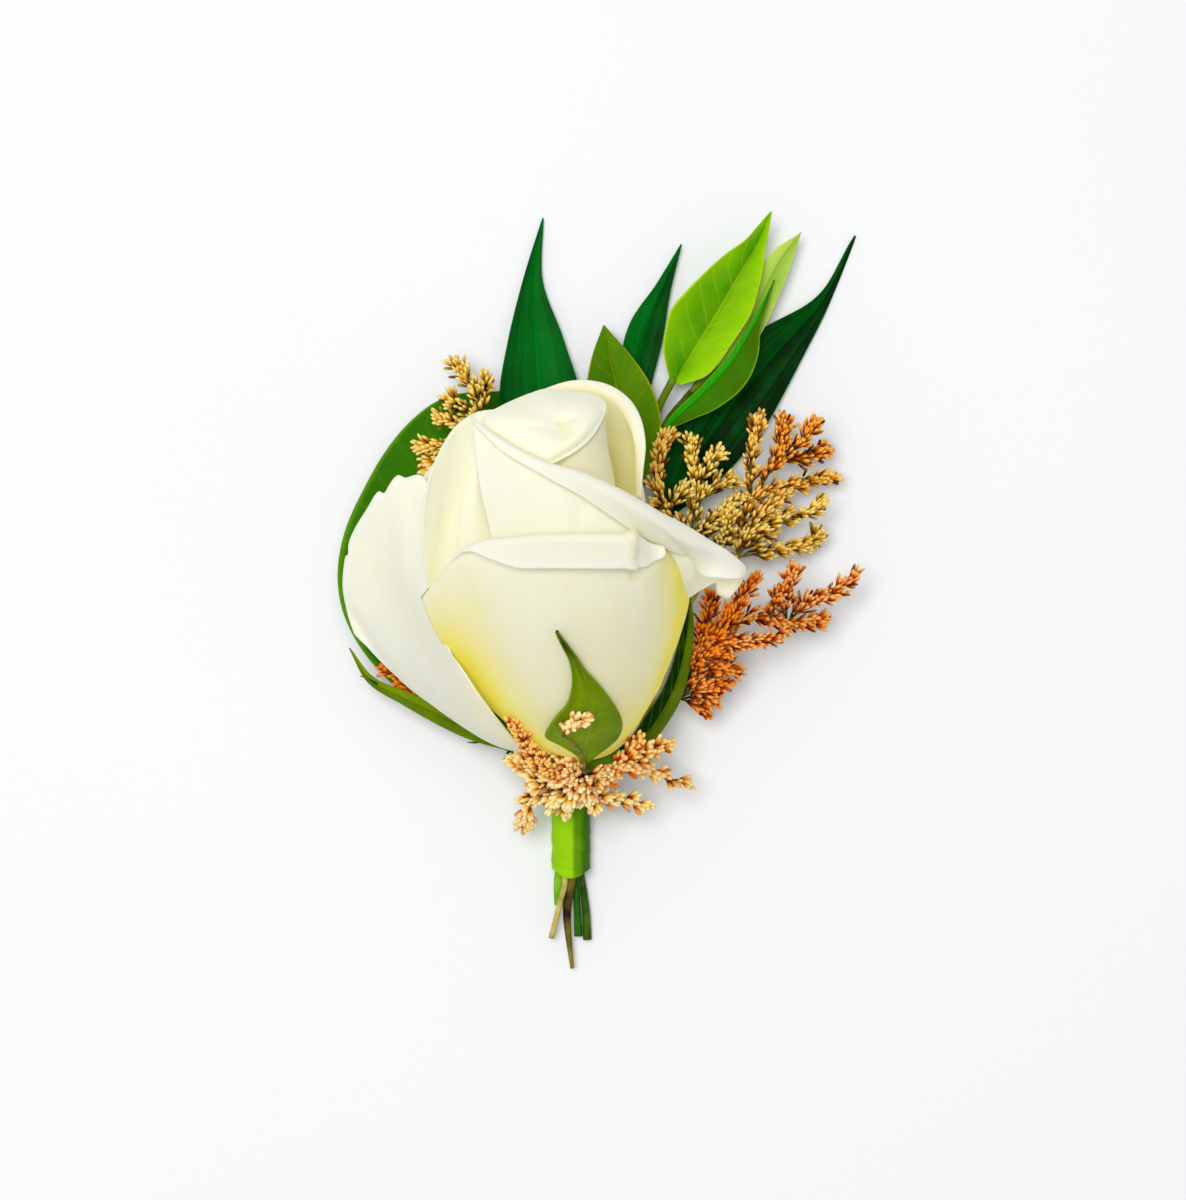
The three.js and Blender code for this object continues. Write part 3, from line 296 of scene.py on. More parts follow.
# Where the filler's stems fork
UPPER_FORK, UPPER_SIDE_FORK = (21.4, 6.3, 7), (14.4, 8.9, 6)
LOWER_FORK, LOWER_SIDE_FORK = (12.6, -14.4, 9), (15.6, -7.3, 13)
NECK_FORK, NECK_SIDE_FORK = (-1.3, -25.6, 14.5), (-2.6, -27, 12)

# The filler's branches, by bunch
UPPER_RIGHT = [
    [UPPER_FORK, (27.1, 7.4, 6), (31.4, 8.2, 5), (34, 10.2, 5)],
    [UPPER_FORK, (22.5, 9.6, 8.5), (30.3, 12.3, 9), (34.4, 14.7, 9)],
    [UPPER_FORK, (23.5, 14.8, 6.5), (30.5, 17.2, 5.5), (36.5, 18.7, 5)],
    [(23.5, 14.8, 6.5), (23.2, 20.1, 9), (23.8, 23.8, 10), (24.3, 27.2, 11)],
    [(24.7, 16.3, 6.5), (27, 21.1, 8), (27.7, 23.9, 8), (28.4, 27.5, 7)],
    [(26.4, 19.2, 7), (30.5, 23.2, 10), (32.9, 26.5, 11)],
    [(27, 20.4, 7), (31.9, 21.1, 7), (35.2, 22.8, 6)],
    [UPPER_SIDE_FORK, (15.2, 15.2, 8), (14.6, 19.8, 9), (14.4, 24.3, 10)],
    [(15, 15.9, 8), (17.2, 20.1, 10), (18.9, 22.1, 11)],
    [(15.3, 14, 8), (18, 16.8, 7), (21.5, 18.1, 6)],
    [UPPER_SIDE_FORK, (17.5, 11.5, 9), (20.7, 14.2, 10)],
    [(18.2, 7.4, 6.6), (19.3, 9.5, 11), (20.4, 13.4, 12)],
    [UPPER_SIDE_FORK, (10.1, 14.5, 10), (9.6, 20.1, 9), (11.2, 25.3, 8)],
    [(11, 12.9, 9), (12.5, 15, 10), (13.8, 16.7, 10)],
    [UPPER_FORK, (24.6, 10.6, 7.5), (29.8, 13.4, 7)],
    [(22.8, 10.4, 8), (25.5, 13.4, 8), (29.2, 16.2, 7.5)],
    [(18.2, 7.4, 6.6), (22.4, 9.4, 6), (27.6, 10, 5.6)],
    [(16.4, 8.2, 6.3), (18.6, 12, 7), (22.8, 15.8, 7)],
]
LOWER_RIGHT = [
    [LOWER_FORK, (14.9, -15.3, 8), (17.3, -16.4, 7)],
    [LOWER_FORK, (17.6, -12.3, 10), (19.7, -12.9, 9)],
    [LOWER_FORK, (17.4, -10.8, 11), (22.1, -10, 10)],
    [(14, -11.5, 11), (15.4, -8.7, 14), (18.7, -7, 15)],
    [LOWER_FORK, LOWER_SIDE_FORK, (22.3, -2.6, 12), (28.3, -3.4, 10), (34.8, -2.9, 9)],
    [(17.6, -5.8, 13), (22.2, -6.1, 14), (28.7, -5.1, 13)],
    [(28.6, -3.2, 10), (31.6, -0.3, 11), (34.7, 0.9, 11), (39.5, 4.4, 10)],
    [(28.3, -3.1, 10), (28.4, 1.6, 13), (29.4, 4.9, 14)],
    [(25.9, -2.9, 11), (26.5, 0, 14), (27.6, 2, 15)],
    [LOWER_SIDE_FORK, (16.6, -2.9, 14), (17.4, 1.2, 13)],
    [(19.2, -4.7, 13), (21, -0.7, 15), (23.8, 4.1, 14)],
    [LOWER_FORK, (14.4, -10.5, 11), (15.6, -6.4, 13), (15.8, -3.4, 13)],
    [LOWER_SIDE_FORK, (18, -6.4, 14), (20.6, -7.6, 14)],
    [LOWER_SIDE_FORK, (18.6, -4.2, 15), (19.9, -0.6, 15.5)],
    [(14, -11.5, 11), (17, -9.6, 12), (19.8, -9.4, 12.5)],
    [(13.2, -13.4, 10), (16.4, -13.6, 10), (18.6, -14.6, 9)],
]
UPPER_LEFT = [
    [(-16.1, 25.9, 6), (-16.9, 29.8, 8), (-18.7, 32.7, 8), (-20.8, 35.7, 7)],
    [(-16.7, 28.8, 7.5), (-15.9, 30.9, 9), (-15.4, 33.5, 9)],
    [(-16.3, 26.6, 6), (-19.3, 28.4, 8), (-21.8, 30.2, 8)],
    [(-16.1, 25.2, 6), (-20, 26.1, 8), (-23.6, 27.1, 8)],
    [(-16.4, 22.9, 6), (-21.8, 22.7, 8), (-26.5, 22.4, 8)],
    [(-16.4, 22.2, 6), (-21.4, 20.9, 8), (-25.5, 19.9, 8)],
]
LOWER_LEFT = [
    [(-17, -17.6, 4.5), (-22, -15.6, 4.6), (-25.9, -13, 5), (-28.8, -10.9, 5), (-31.3, -9.5, 5)],
    [(-22, -15.6, 4.6), (-26, -13.9, 5.4), (-29.4, -12.4, 5.6)],
]
NECK = [
    [NECK_FORK, (-0.4, -28.8, 13), (3.7, -29.1, 11), (8.8, -30.6, 9)],
    [NECK_FORK, (1.6, -25.4, 14.8), (4.2, -24.2, 15), (8, -24.8, 13), (14.8, -27.6, 9)],
    [NECK_FORK, (1.6, -25.4, 15), (4.6, -22.8, 16.2), (7.4, -19.6, 17)],
    [(4.2, -24.2, 15), (7.4, -22.4, 15), (11.8, -20.4, 14)],
    [NECK_FORK, (-8.6, -24.7, 13), (-12, -22.8, 12)],
    [NECK_SIDE_FORK, (-8.5, -28.8, 11), (-9.7, -31.1, 10), (-9.9, -33.9, 8)],
    [NECK_SIDE_FORK, (-3.9, -28.8, 12), (-3.8, -32, 10)],
    [(-3, -27, 12), (-5.5, -28.8, 12), (-6.3, -30.9, 10)],
    [(-2.6, -25.7, 14), (-5.4, -24.9, 17.4), (-8.2, -22.2, 21.6), (-12.2, -16.6, 29)],
    [(-4.2, -19, 31.7), (-3.1, -17.6, 33.6), (-0.6, -15.9, 35.4)],
    [NECK_FORK, (1, -25.6, 16), (2.7, -24.9, 20)],
    [(-2.2, -26.2, 13), (-7, -26.6, 14), (-9.5, -26.6, 13)],
    [(-1.6, -26.2, 13), (-0.4, -28, 15), (-1.9, -30, 13)],
    [NECK_FORK, (-3, -24.2, 18), (-5.4, -20.6, 21)],
    [(-1.6, -26.2, 13), (-2.8, -27.4, 15.4), (-3.4, -30.4, 14.6)],
    [NECK_FORK, (-1, -26.4, 17), (-1.2, -29, 16.6)],
    [NECK_FORK, (-3.2, -25.8, 17), (-6.6, -25.4, 16.6)],
]

# By branch of each bunch: how orange its florets are
WARMTH = {
    "spray_upper_right": (0.15, 0.1, 0.5, 0.4, 0.95, 1, 0.9, 0.05, 0, 0, 0, 0.1, 0.3, 0, 0.1, 0.3, 0, 0),
    "spray_lower_right": (0.8, 0.9, 0.6, 0.9, 0.5, 0.5, 0.4, 0.5, 0.8, 1, 0.8, 1, 0.9, 1, 0.8, 0.6),
    "spray_upper_left": (0.1, 0.2, 0.1, 0.15, 0.2, 0.1),
    "spray_lower_left": (0.9, 1),
    "spray_neck": (0, 0.4, 0.9, 0.6, 0.4, 0.3, 0, 0, 1, 0.3, 0.4, 0.1, 0, 0.5, 0, 0, 0.1),
}


def tone(red, green, blue):
    """A colour given as it looks on a screen, 0 to 255, as scene-linear values"""
    return tuple(c / 255 / 12.92 if c <= 10 else ((c / 255 + 0.055) / 1.055) ** 2.4
                 for c in (red, green, blue))


# Small helpers
def clamp(x):
    return min(max(x, 0.0), 1.0)


def ease(low, high, x):
    """0 at low and 1 at high, whichever is the greater, with a soft step between"""
    x = clamp((x - low) / (high - low))
    return x * x * (3 - 2 * x)


def vectors(points):
    return [Vector(p) for p in points]


def spline(a, b, c, d, f):
    """A smooth curve at f of its way from b to c, with a before them and d after"""
    return 0.5 * (2 * b + (c - a) * f + (2 * a - 5 * b + 4 * c - d) * f ** 2
                  + (3 * b - a - 3 * c + d) * f ** 3)


def along(rows, t):
    """A smooth curve through evenly spaced numbers or vectors, t from 0 to 1"""
    last = len(rows) - 1
    x = clamp(t) * last
    i = min(int(x), last - 1)
    b, c = rows[i], rows[i + 1]
    before = rows[i - 1] if i else 2 * b - c
    after = rows[i + 2] if i + 2 <= last else 2 * c - b
    return spline(before, b, c, after, x - i)


def around(rows, t):
    """The same for a closed curve, once round from 0 to 1"""
    count = len(rows)
    x = (t % 1) * count
    i = int(x) % count
    return spline(rows[i - 1], rows[i], rows[(i + 1) % count], rows[(i + 2) % count], x - int(x))


def dents(spots, x):
    """How deep a margin is cut at x; each spot is a place, a width and a depth"""
    return sum(deep * math.exp(-((x - at) / wide) ** 2) for at, wide, deep in spots)


def metres(point):
    return (point + SHIFT) * MM


def from_above(point):
    """Where the viewer sees a point against the table"""
    nearer = VIEW_HEIGHT / (VIEW_HEIGHT - point.z)
    return Vector((point.x * nearer, point.y * nearer))


def from_line(spot, a, b):
    """How far a spot lies from the straight line between two others"""
    share = clamp((spot - a).dot(b - a) / (b - a).length_squared)
    return (spot - a.lerp(b, share)).length


AXIS = Vector((math.sin(ROSE_LEAN) * math.cos(ROSE_TILT), math.cos(ROSE_LEAN) * math.cos(ROSE_TILT),
               math.sin(ROSE_TILT)))
FRONT = (UP - AXIS * AXIS.z).normalized()
RIGHT = AXIS.cross(FRONT)


def rose(azimuth, radius, height):
    """A point in the rose's own frame: azimuth 0 faces the viewer and grows to the right"""
    angle = math.radians(azimuth)
    return (ROSE_BASE + AXIS * height + RIGHT * (radius * math.sin(angle))
            + FRONT * (radius * math.cos(angle)))


class Petal:
    """One petal's surface; v runs from 0 at the claw to 1 at the rim and on to 2 at the lip's end"""

    def __init__(self, claw, foot, belly, rim, tint, flanks=(0, 0), roll=(), bend=(), hem=(0, 0),
                 nicks=(), bites=()):
        self.claw, self.nicks, self.bites = claw, nicks, bites
        self.foot, self.belly, self.rim = vectors(foot), vectors(belly), vectors(rim)
        self.roll, self.bend, self.hem = roll, bend, hem
        self.tint, self.flanks = tint, flanks
        self.column = functools.lru_cache(maxsize=512)(self.column)

    def column(self, u):
        low, high = self.claw
        return (Vector((low + (high - low) * u, CLAW_RADIUS, 0)), along(self.foot, u),
                along(self.belly, u), along(self.rim, u))

    def face(self, u, v):
        a, b, c, d = self.column(u)
        w = 1 - v
        return rose(*(a * w ** 3 + b * (3 * w * w * v) + c * (3 * w * v * v) + d * v ** 3))

    def point(self, u, v):
        if v <= 1 or not self.roll:
            return self.face(u, v)
        edge = self.face(u, 1)
        rise = (edge - self.face(u, 0.97)).normalized()
        ahead = self.face(min(u + STEP, 1), 1) - self.face(max(u - STEP, 0), 1)
        out = ahead.cross(rise).normalized()
        angle, bend = math.radians(along(self.roll, u)), along(self.bend, u)
        arc = bend * angle
        run = (v - 1) * (arc + max(along(self.hem, u), 0))
        turned, straight = min(run, arc) / bend, max(run - arc, 0)
        return (edge + rise * (bend * math.sin(turned) + straight * math.cos(angle))
                + out * (bend * (1 - math.cos(turned)) + straight * math.sin(angle)))

    def rows(self, u, t):
        """The v at t, from 0 at the claw to 1 at the last row, less the nicks in the rim"""
        if not self.roll:
            return t * (1 - dents(self.nicks, u) * t ** 4)
        return t / FACE_SHARE if t <= FACE_SHARE else 1 + (t - FACE_SHARE) / (1 - FACE_SHARE)

    def inset(self, u, v):
        """u less the bites in the right margin"""
        return u - dents(self.bites, v) * u ** 8

    def yellow(self, u, t):
        """How yellow the petal is: more at its foot, the petal's own yellow there along with painted shade,
        and along the flanks below the rim, where the yellow is painted shade
        """
        left = self.flanks[0] * ease(0.32, 0, u) * ease(0.76, 0.46, t)
        right = self.flanks[1] * ease(0.6, 0.95, u) * ease(0.82, 0.6, t)
        return along(self.tint, t) + (left + right) * ease(0.02, 0.2, t)


def press(creases, point):
    """How far the creases push a point out, and the yellow of painted shade that they add"""
    spot = from_above(point)
    height = yellow = 0.0
    for line, width, stand, tint in creases:
        nearest = min(from_line(spot, Vector(a), Vector(b)) for a, b in zip(line, line[1:]))
        share = math.exp(-(nearest / width) ** 2)
        height += stand * share
        yellow += tint * share
    return height, yellow


# Meshes
def fresh_mesh(*more):
    """An empty mesh with a map and a tint, and more values for its points by name"""
    bm = bmesh.new()
    bm.loops.layers.uv.new("UVMap")
    for name in ("tint", *more):
        bm.verts.layers.float.new(name)
    return bm


def as_mesh(bm, name):
    mesh = bpy.data.meshes.new(name)
    bm.to_mesh(mesh)
    bm.free()
    return mesh


def add_object(name, data):
    made = bpy.data.objects.new(name, data)
    bpy.context.scene.collection.objects.link(made)
    return made


def lay_sheet(bm, across, rows, place, relief=None, wrap=False):
    """Adds a grid laid on place(u, t), which gives a point and its tint, then pushed along its normals"""
    uv, tint = bm.loops.layers.uv["UVMap"], bm.verts.layers.float["tint"]
    verts = bmesh.ops.create_grid(bm, x_segments=across, y_segments=rows, size=0.5)["verts"]
    spots = [(v, v.co.x + 0.5, v.co.y + 0.5) for v in verts]
    faces = list({face: None for v in verts for face in v.link_faces})
    for face in faces:
        for loop in face.loops:
            loop[uv].uv = (loop.vert.co.x + 0.5, loop.vert.co.y + 0.5)
    points = []
    for v, u, t in spots:
        point, v[tint] = place(u, t)
        points.append(point)
        v.co = metres(point)
    if relief:
        for face in faces:
            face.normal_update()
        for v in verts:
            v.normal_update()
        for (v, u, t), point in zip(spots, points):
            v.co += v.normal * (relief(u, t, point) * MM)
            v.co.z = max(v.co.z, LEAF_REST * MM)
    if wrap:
        bmesh.ops.remove_doubles(bm, verts=verts, dist=2e-6)
        bmesh.ops.recalc_face_normals(bm, faces=[face for face in faces if face.is_valid])


def lay_tube(bm, points, radius, sides, steps, tint=0.5):
    """Adds a stem: a disc extruded from place to place along a smooth curve; radius and tint are
    one number, or several along it"""
    layer = bm.verts.layers.float["tint"]
    path = vectors(points)
    radii, shades = (row if isinstance(row, tuple) else (row, row) for row in (radius, tint))
    disc = bmesh.ops.create_circle(bm, cap_ends=True, segments=sides, radius=1)
    cap = disc["verts"][0].link_faces[0]
    side = UP.cross(path[1] - path[0])
    side = side.normalized() if side.length > 1e-6 else Vector((1, 0, 0))
    for k in range(steps + 1):
        t = k / steps
        if k:
            made = bmesh.ops.extrude_face_region(bm, geom=[cap])["geom"]
            cap = next(item for item in made if isinstance(item, bmesh.types.BMFace))
        ahead = (along(path, t + STEP) - along(path, t - STEP)).normalized()
        side = (side - ahead * side.dot(ahead)).normalized()
        other = ahead.cross(side)
        middle, size, shade = along(path, t), along(radii, t), along(shades, t)
        for i, v in enumerate(cap.verts):
            angle = 2 * math.pi * i / sides
            v.co = metres(middle + (side * math.cos(angle) + other * math.sin(angle)) * size)
            v[layer] = shade


def finish_piece(name, bm, node, material, thickness=0.0):
    """Makes the mesh an object that rides on the boutonniere and stands for its CAD node"""
    mesh = as_mesh(bm, name)
    for face in mesh.polygons:
        face.use_smooth = True
    mesh.materials.append(material)
    piece = add_object(name, mesh)
    if thickness:
        wall = piece.modifiers.new("thickness", "SOLIDIFY")
        wall.thickness = thickness
        wall.offset = 0
    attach(piece, "root")
    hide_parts(node)


# Materials: short calls for their nodes
def fill(tree, socket, value):
    if isinstance(value, bpy.types.NodeSocket):
        tree.links.new(value, socket)
    elif socket.type == "RGBA" and len(value) == 3:
        socket.default_value = (*value, 1)
    else:
        socket.default_value = value


def connect(tree, sockets, **values):
    """Fills sockets by their names, with _ for each blank"""
    for key, value in values.items():
        fill(tree, sockets[key.replace("_", " ")], value)


def add_node(tree, kind, settings=None, **inputs):
    made = tree.nodes.new("ShaderNode" + kind)
    for key, value in (settings or {}).items():
        setattr(made, key, value)
    connect(tree, made.inputs, **inputs)
    return made


def calculate(tree, operation, a, b=0.0, limit=False):
    made = add_node(tree, "Math", {"operation": operation, "use_clamp": limit})
    fill(tree, made.inputs[0], a)
    fill(tree, made.inputs[1], b)
    return made.outputs[0]


def sway(tree, noise_value, share):
    """A noise about 0 instead of about a half, times share"""
    return calculate(tree, "MULTIPLY", calculate(tree, "SUBTRACT", noise_value, 0.5), share)


def from_middle(tree, value):
    """0 where the value is a half, 1 where it is 0 or 1"""
    return calculate(tree, "MULTIPLY",
                     calculate(tree, "ABSOLUTE", calculate(tree, "SUBTRACT", value, 0.5)), 2)


def blend(tree, factor, a, b, mode="MIX"):
    made = add_node(tree, "Mix", {"data_type": "RGBA", "blend_type": mode})
    fill(tree, made.inputs[0], factor)
    fill(tree, made.inputs[6], a)
    fill(tree, made.inputs[7], b)
    return made.outputs[2]


def step_mask(tree, value, low, high):
    made = add_node(tree, "MapRange", {"interpolation_type": "SMOOTHSTEP"}, Value=value, From_Min=low,
                    From_Max=high)
    return made.outputs[0]


def coordinates(tree, kind):
    return add_node(tree, "TexCoord").outputs[kind]


def speckle(tree, vector, scale, detail):
    return add_node(tree, "TexNoise", Vector=vector, Scale=scale, Detail=detail).outputs[0]


def stretched(tree, vector, scale):
    return add_node(tree, "Mapping", Vector=vector, Scale=scale).outputs[0]


def attribute(tree, name):
    return add_node(tree, "Attribute", {"attribute_name": name}).outputs["Fac"]


def uneven(tree, name, noise_value, share):
    """A value of the points with a noise in it, kept between 0 and 1"""
    return calculate(tree, "ADD", attribute(tree, name), sway(tree, noise_value, share), limit=True)


def new_group(name, inputs, outputs):
    tree = bpy.data.node_groups.new(name, "ShaderNodeTree")
    for label, kind, default in inputs:
        socket = tree.interface.new_socket(name=label, in_out="INPUT", socket_type="NodeSocket" + kind)
        socket.default_value = (*default, 1) if kind == "Color" else default
    for label, kind in outputs:
        tree.interface.new_socket(name=label, in_out="OUTPUT", socket_type="NodeSocket" + kind)
    return tree, tree.nodes.new("NodeGroupInput").outputs, tree.nodes.new("NodeGroupOutput").inputs


@functools.cache
def petal_group():
    """Petal skin: white that turns yellow with the tint, a painted yellow light given off where the tint is
    high, and faint veins
    """
    tree, given, out = new_group(
        "Petal skin",
        [("White", "Color", (0.9, 0.9, 0.8)), ("Yellow", "Color", (0.8, 0.8, 0.2)), ("Veins", "Float", 0.1)],
        [("Color", "Color"), ("Glow", "Color"), ("Height", "Float")])
    place, uv = coordinates(tree, "Object"), coordinates(tree, "UV")
    yellow = uneven(tree, "tint", speckle(tree, place, scale=110, detail=2), 0.22)
    color = blend(tree, yellow, given["White"], given["Yellow"])
    veins = speckle(tree, stretched(tree, uv, (55, 2.5, 1)), scale=1, detail=4)
    vein = calculate(tree, "MULTIPLY", step_mask(tree, veins, 0.45, 0.75), given["Veins"])
    grain = calculate(tree, "MULTIPLY", speckle(tree, place, scale=2600, detail=2), 0.25)
    # The Glow output is painted light: the yellow, given off as light where the tint is high
    connect(tree, out, Color=blend(tree, vein, color, given["Yellow"]),
            Glow=blend(tree, yellow, (0, 0, 0), given["Yellow"]), Height=calculate(tree, "ADD", veins, grain))
    return tree


@functools.cache
def leaf_group():
    """Leaf skin: a shaded and a lit green, mixed by the tint as painted light and shade, a midrib, side veins
    and a pale margin
    """
    tree, given, out = new_group(
        "Leaf skin",
        [("Dark", "Color", (0, 0.05, 0)), ("Bright", "Color", (0.1, 0.4, 0)),
         ("Vein", "Color", (0.2, 0.4, 0.1)), ("Vein strength", "Float", 0.4), ("Vein count", "Float", 14.0),
         ("Margin", "Float", 0.4), ("Streaks", "Float", 0.0)],
        [("Color", "Color"), ("Height", "Float"), ("Roughness", "Float")])
    place, uv = coordinates(tree, "Object"), coordinates(tree, "UV")
    across, up = add_node(tree, "SeparateXYZ", Vector=uv).outputs[:2]
    off = from_middle(tree, across)
    midrib = calculate(tree, "SUBTRACT", 1, step_mask(tree, off, 0.01, 0.075))

    march = calculate(tree, "SUBTRACT", calculate(tree, "MULTIPLY", up, given["Vein count"]),
                      calculate(tree, "MULTIPLY", off, VEIN_SLANT))
    wander = sway(tree, speckle(tree, place, scale=260, detail=1), 0.5)
    ridge = from_middle(tree, calculate(tree, "FRACT", calculate(tree, "ADD", march, wander)))
    side = calculate(tree, "MULTIPLY", step_mask(tree, ridge, 0.78, 1),
                     calculate(tree, "SUBTRACT", 0.5, given["Streaks"], limit=True))
    veins = calculate(tree, "MAXIMUM", midrib, side)

    mottle = sway(tree, speckle(tree, place, scale=170, detail=4), 0.8)
    streak = sway(tree, speckle(tree, stretched(tree, uv, (16, 0.8, 1)), scale=1, detail=2), given["Streaks"])
    green = calculate(tree, "ADD", attribute(tree, "tint"), mottle)
    green = calculate(tree, "ADD", green, streak, limit=True)
    color = blend(tree, green, given["Dark"], given["Bright"])
    color = blend(tree, calculate(tree, "MULTIPLY", veins, given["Vein strength"]), color, given["Vein"])
    edge = calculate(tree, "MULTIPLY", step_mask(tree, off, 0.93, 1), given["Margin"])
    cells = calculate(tree, "MULTIPLY", speckle(tree, place, scale=1900, detail=3), 0.3)
    dull = calculate(tree, "MULTIPLY", speckle(tree, place, scale=600, detail=3), 0.22)
    connect(tree, out, Color=blend(tree, edge, color, given["Vein"]),
            Height=calculate(tree, "SUBTRACT", cells, veins), Roughness=calculate(tree, "ADD", 0.36, dull))
    return tree


@functools.cache
def fibre_group():
    """Fibres and blotches for stems, twigs, florets and tape"""
    tree, given, out = new_group("Fibres", [("Fine", "Float", 1500.0), ("Blotch", "Float", 300.0)],
                                 [("Fibre", "Float"), ("Blotch", "Float")])
    place = coordinates(tree, "Object")
    fine = speckle(tree, stretched(tree, place, (1, 0.2, 1)), given["Fine"], detail=4)
    connect(tree, out, Fibre=fine, Blotch=speckle(tree, place, given["Blotch"], detail=2))
    return tree


def new_material(name, **constants):
    """A material with its shader; the constants are the shader's own sockets"""
    material = bpy.data.materials.new(name)
    material.use_nodes = True
    tree = material.node_tree
    sockets = tree.nodes["Principled BSDF"].inputs
    connect(tree, sockets, **constants)
    return material, tree, sockets


def use_group(tree, group, **values):
    made = add_node(tree, "Group", {"node_tree": group})
    connect(tree, made.inputs, **values)
    return made.outputs


def bump(tree, height, strength, distance):
    return add_node(tree, "Bump", Height=height, Strength=strength, Distance=distance).outputs[0]


@functools.cache
def petal_material():
    settings = bpy.context.scene.rose_settings
    # The emission is painted light: the petals give off a little yellow light where the tint is high, which
    # lifts their shade
    material, tree, sockets = new_material(
        "rose_petal", Roughness=0.62, Subsurface_Weight=0.3, Subsurface_Scale=0.004,
        Subsurface_Radius=(1, 0.95, 0.5), Specular_IOR_Level=0.12, Emission_Strength=0.2)
    skin = use_group(tree, petal_group(), White=tuple(settings.white), Yellow=tuple(settings.yellow),
                     Veins=settings.veins)
    connect(tree, sockets, Base_Color=skin["Color"], Emission_Color=skin["Glow"],
            Normal=bump(tree, skin["Height"], strength=0.12, distance=0.0004))
    return material


# By leaf: its green in painted shade, its lit green and its veins
LEAF_COLOURS = {
    "broad_leaf": lambda s: (tone(14, 70, 0), tone(66, 136, 0), tone(120, 175, 20)),
    "dark_leaf": lambda s: (tone(0, 34, 2), tuple(s.dark), tone(20, 130, 30)),
    "olive_leaf": lambda s: (tone(60, 108, 0), tone(112, 158, 0), tone(180, 175, 20)),
    "folded_leaf": lambda s: (tone(62, 100, 0), tone(40, 160, 12), tone(140, 180, 20)),
    "bright_leaf": lambda s: (tone(60, 135, 0), tuple(s.light), tone(205, 225, 50)),
    "pale_leaf": lambda s: (tone(104, 160, 0), tone(196, 222, 100), tone(220, 235, 120)),
    "sepal": lambda s: (tone(10, 50, 0), tone(132, 162, 4), tone(170, 190, 50)),
}


@functools.cache
def leaf_material(name, strength, count, margin=0.5, streaks=0.0):
    """A leaf's greens; strength and count are its side veins', margin how pale its edge is"""
    dark, bright, vein = LEAF_COLOURS[name](bpy.context.scene.leaf_settings)
    material, tree, sockets = new_material(name, Specular_IOR_Level=0.025)
    skin = use_group(tree, leaf_group(), Dark=dark, Bright=bright, Vein=vein, Vein_strength=strength,
                     Vein_count=count, Margin=margin, Streaks=streaks)
    connect(tree, sockets, Base_Color=skin["Color"], Roughness=skin["Roughness"],
            Normal=bump(tree, skin["Height"], strength=0.35, distance=0.0003))
    return material


def fibrous(tree, sockets, dark, pale, fine, blotch, unevenness, depth):
    """Fills in a skin of fibres, paler where the tint is high"""
    fibre = use_group(tree, fibre_group(), Fine=fine, Blotch=blotch)
    share = uneven(tree, "tint", fibre["Blotch"], unevenness)
    connect(tree, sockets, Base_Color=blend(tree, share, dark, pale),
            Normal=bump(tree, fibre["Fibre"], strength=depth, distance=0.0003))


# By stem: its dark and its pale skin
STEM_COLOURS = {
    "green_stem": (tone(10, 60, 6), tone(60, 130, 20)),
    "bright_petiole": (tone(70, 150, 0), tone(140, 205, 40)),
    "olive_stem": (tone(16, 66, 4), tone(104, 134, 20)),
    "rose_stem": (tone(40, 24, 6), tone(146, 132, 46)),
    "filler_stem": (tone(44, 30, 0), tone(214, 196, 104)),
    "hip_skin": (tone(40, 90, 6), tone(110, 160, 20)),
}


@functools.cache
def stem_material(name):
    """Stems and twigs: green or brown skin with fibres"""
    material, tree, sockets = new_material(name, Roughness=0.5, Specular_IOR_Level=0.1)
    fibrous(tree, sockets, *STEM_COLOURS[name], fine=2400.0, blotch=500.0, unevenness=1.2, depth=0.5)
    return material


@functools.cache
def tape_material():
    settings = bpy.context.scene.tape_settings
    material, tree, sockets = new_material("floral_tape", Roughness=0.5, Specular_IOR_Level=0.06)
    fibrous(tree, sockets, tuple(settings.shade), tuple(settings.colour), fine=1400.0, blotch=260.0,
            unevenness=0.5, depth=0.45)
    return material


# By bunch: the florets' roots, their own dark brown deepened as painted shade between them, their tips, their
# tips where warm, and a tone of painted shade for those facing down
FILLER_ENDS = {
    "tan": (tone(36, 20, 0), tone(252, 228, 128), tone(255, 184, 66), tone(108, 68, 4)),
    "orange": (tone(46, 4, 0), tone(255, 216, 128), tone(248, 146, 32), tone(120, 32, 0)),
    "cream": (tone(104, 30, 0), tone(255, 244, 190), tone(255, 206, 108), tone(222, 124, 26)),
}


@functools.cache
def filler_material(name):
    """Dried florets: dark at the root, their own colour deepened as painted shade between them, coloured in
    the middle, pale at the tip; painted shade dims those facing down
    """
    settings = bpy.context.scene.filler_settings
    root, tip, warm_tip, deep = FILLER_ENDS[name]
    material, tree, sockets = new_material("filler_" + name, Roughness=0.8, Specular_IOR_Level=0.03)
    fibre = use_group(tree, fibre_group(), Fine=3000.0, Blotch=420.0)
    reach = uneven(tree, "reach", fibre["Blotch"], 0.6)
    warmth = uneven(tree, "warmth", fibre["Blotch"], 0.8)
    middle = blend(tree, warmth, tuple(getattr(settings, name)), tuple(settings.orange))
    top = blend(tree, warmth, tip, warm_tip)
    # The dark root is the florets' own colour deepened as painted shade between them
    lower = blend(tree, step_mask(tree, reach, 0.15, 0.55), root, middle)
    color = blend(tree, step_mask(tree, reach, 0.48, 0.82), lower, top)
    # Painted shade, by the tint: the florets facing down are dimmed towards the deep tone
    shade = blend(tree, step_mask(tree, attribute(tree, "tint"), 0.1, 0.6), deep, (1, 1, 1))
    connect(tree, sockets, Base_Color=blend(tree, 1, color, shade, "MULTIPLY"),
            Normal=bump(tree, fibre["Fibre"], strength=0.4, distance=0.0002))
    return material


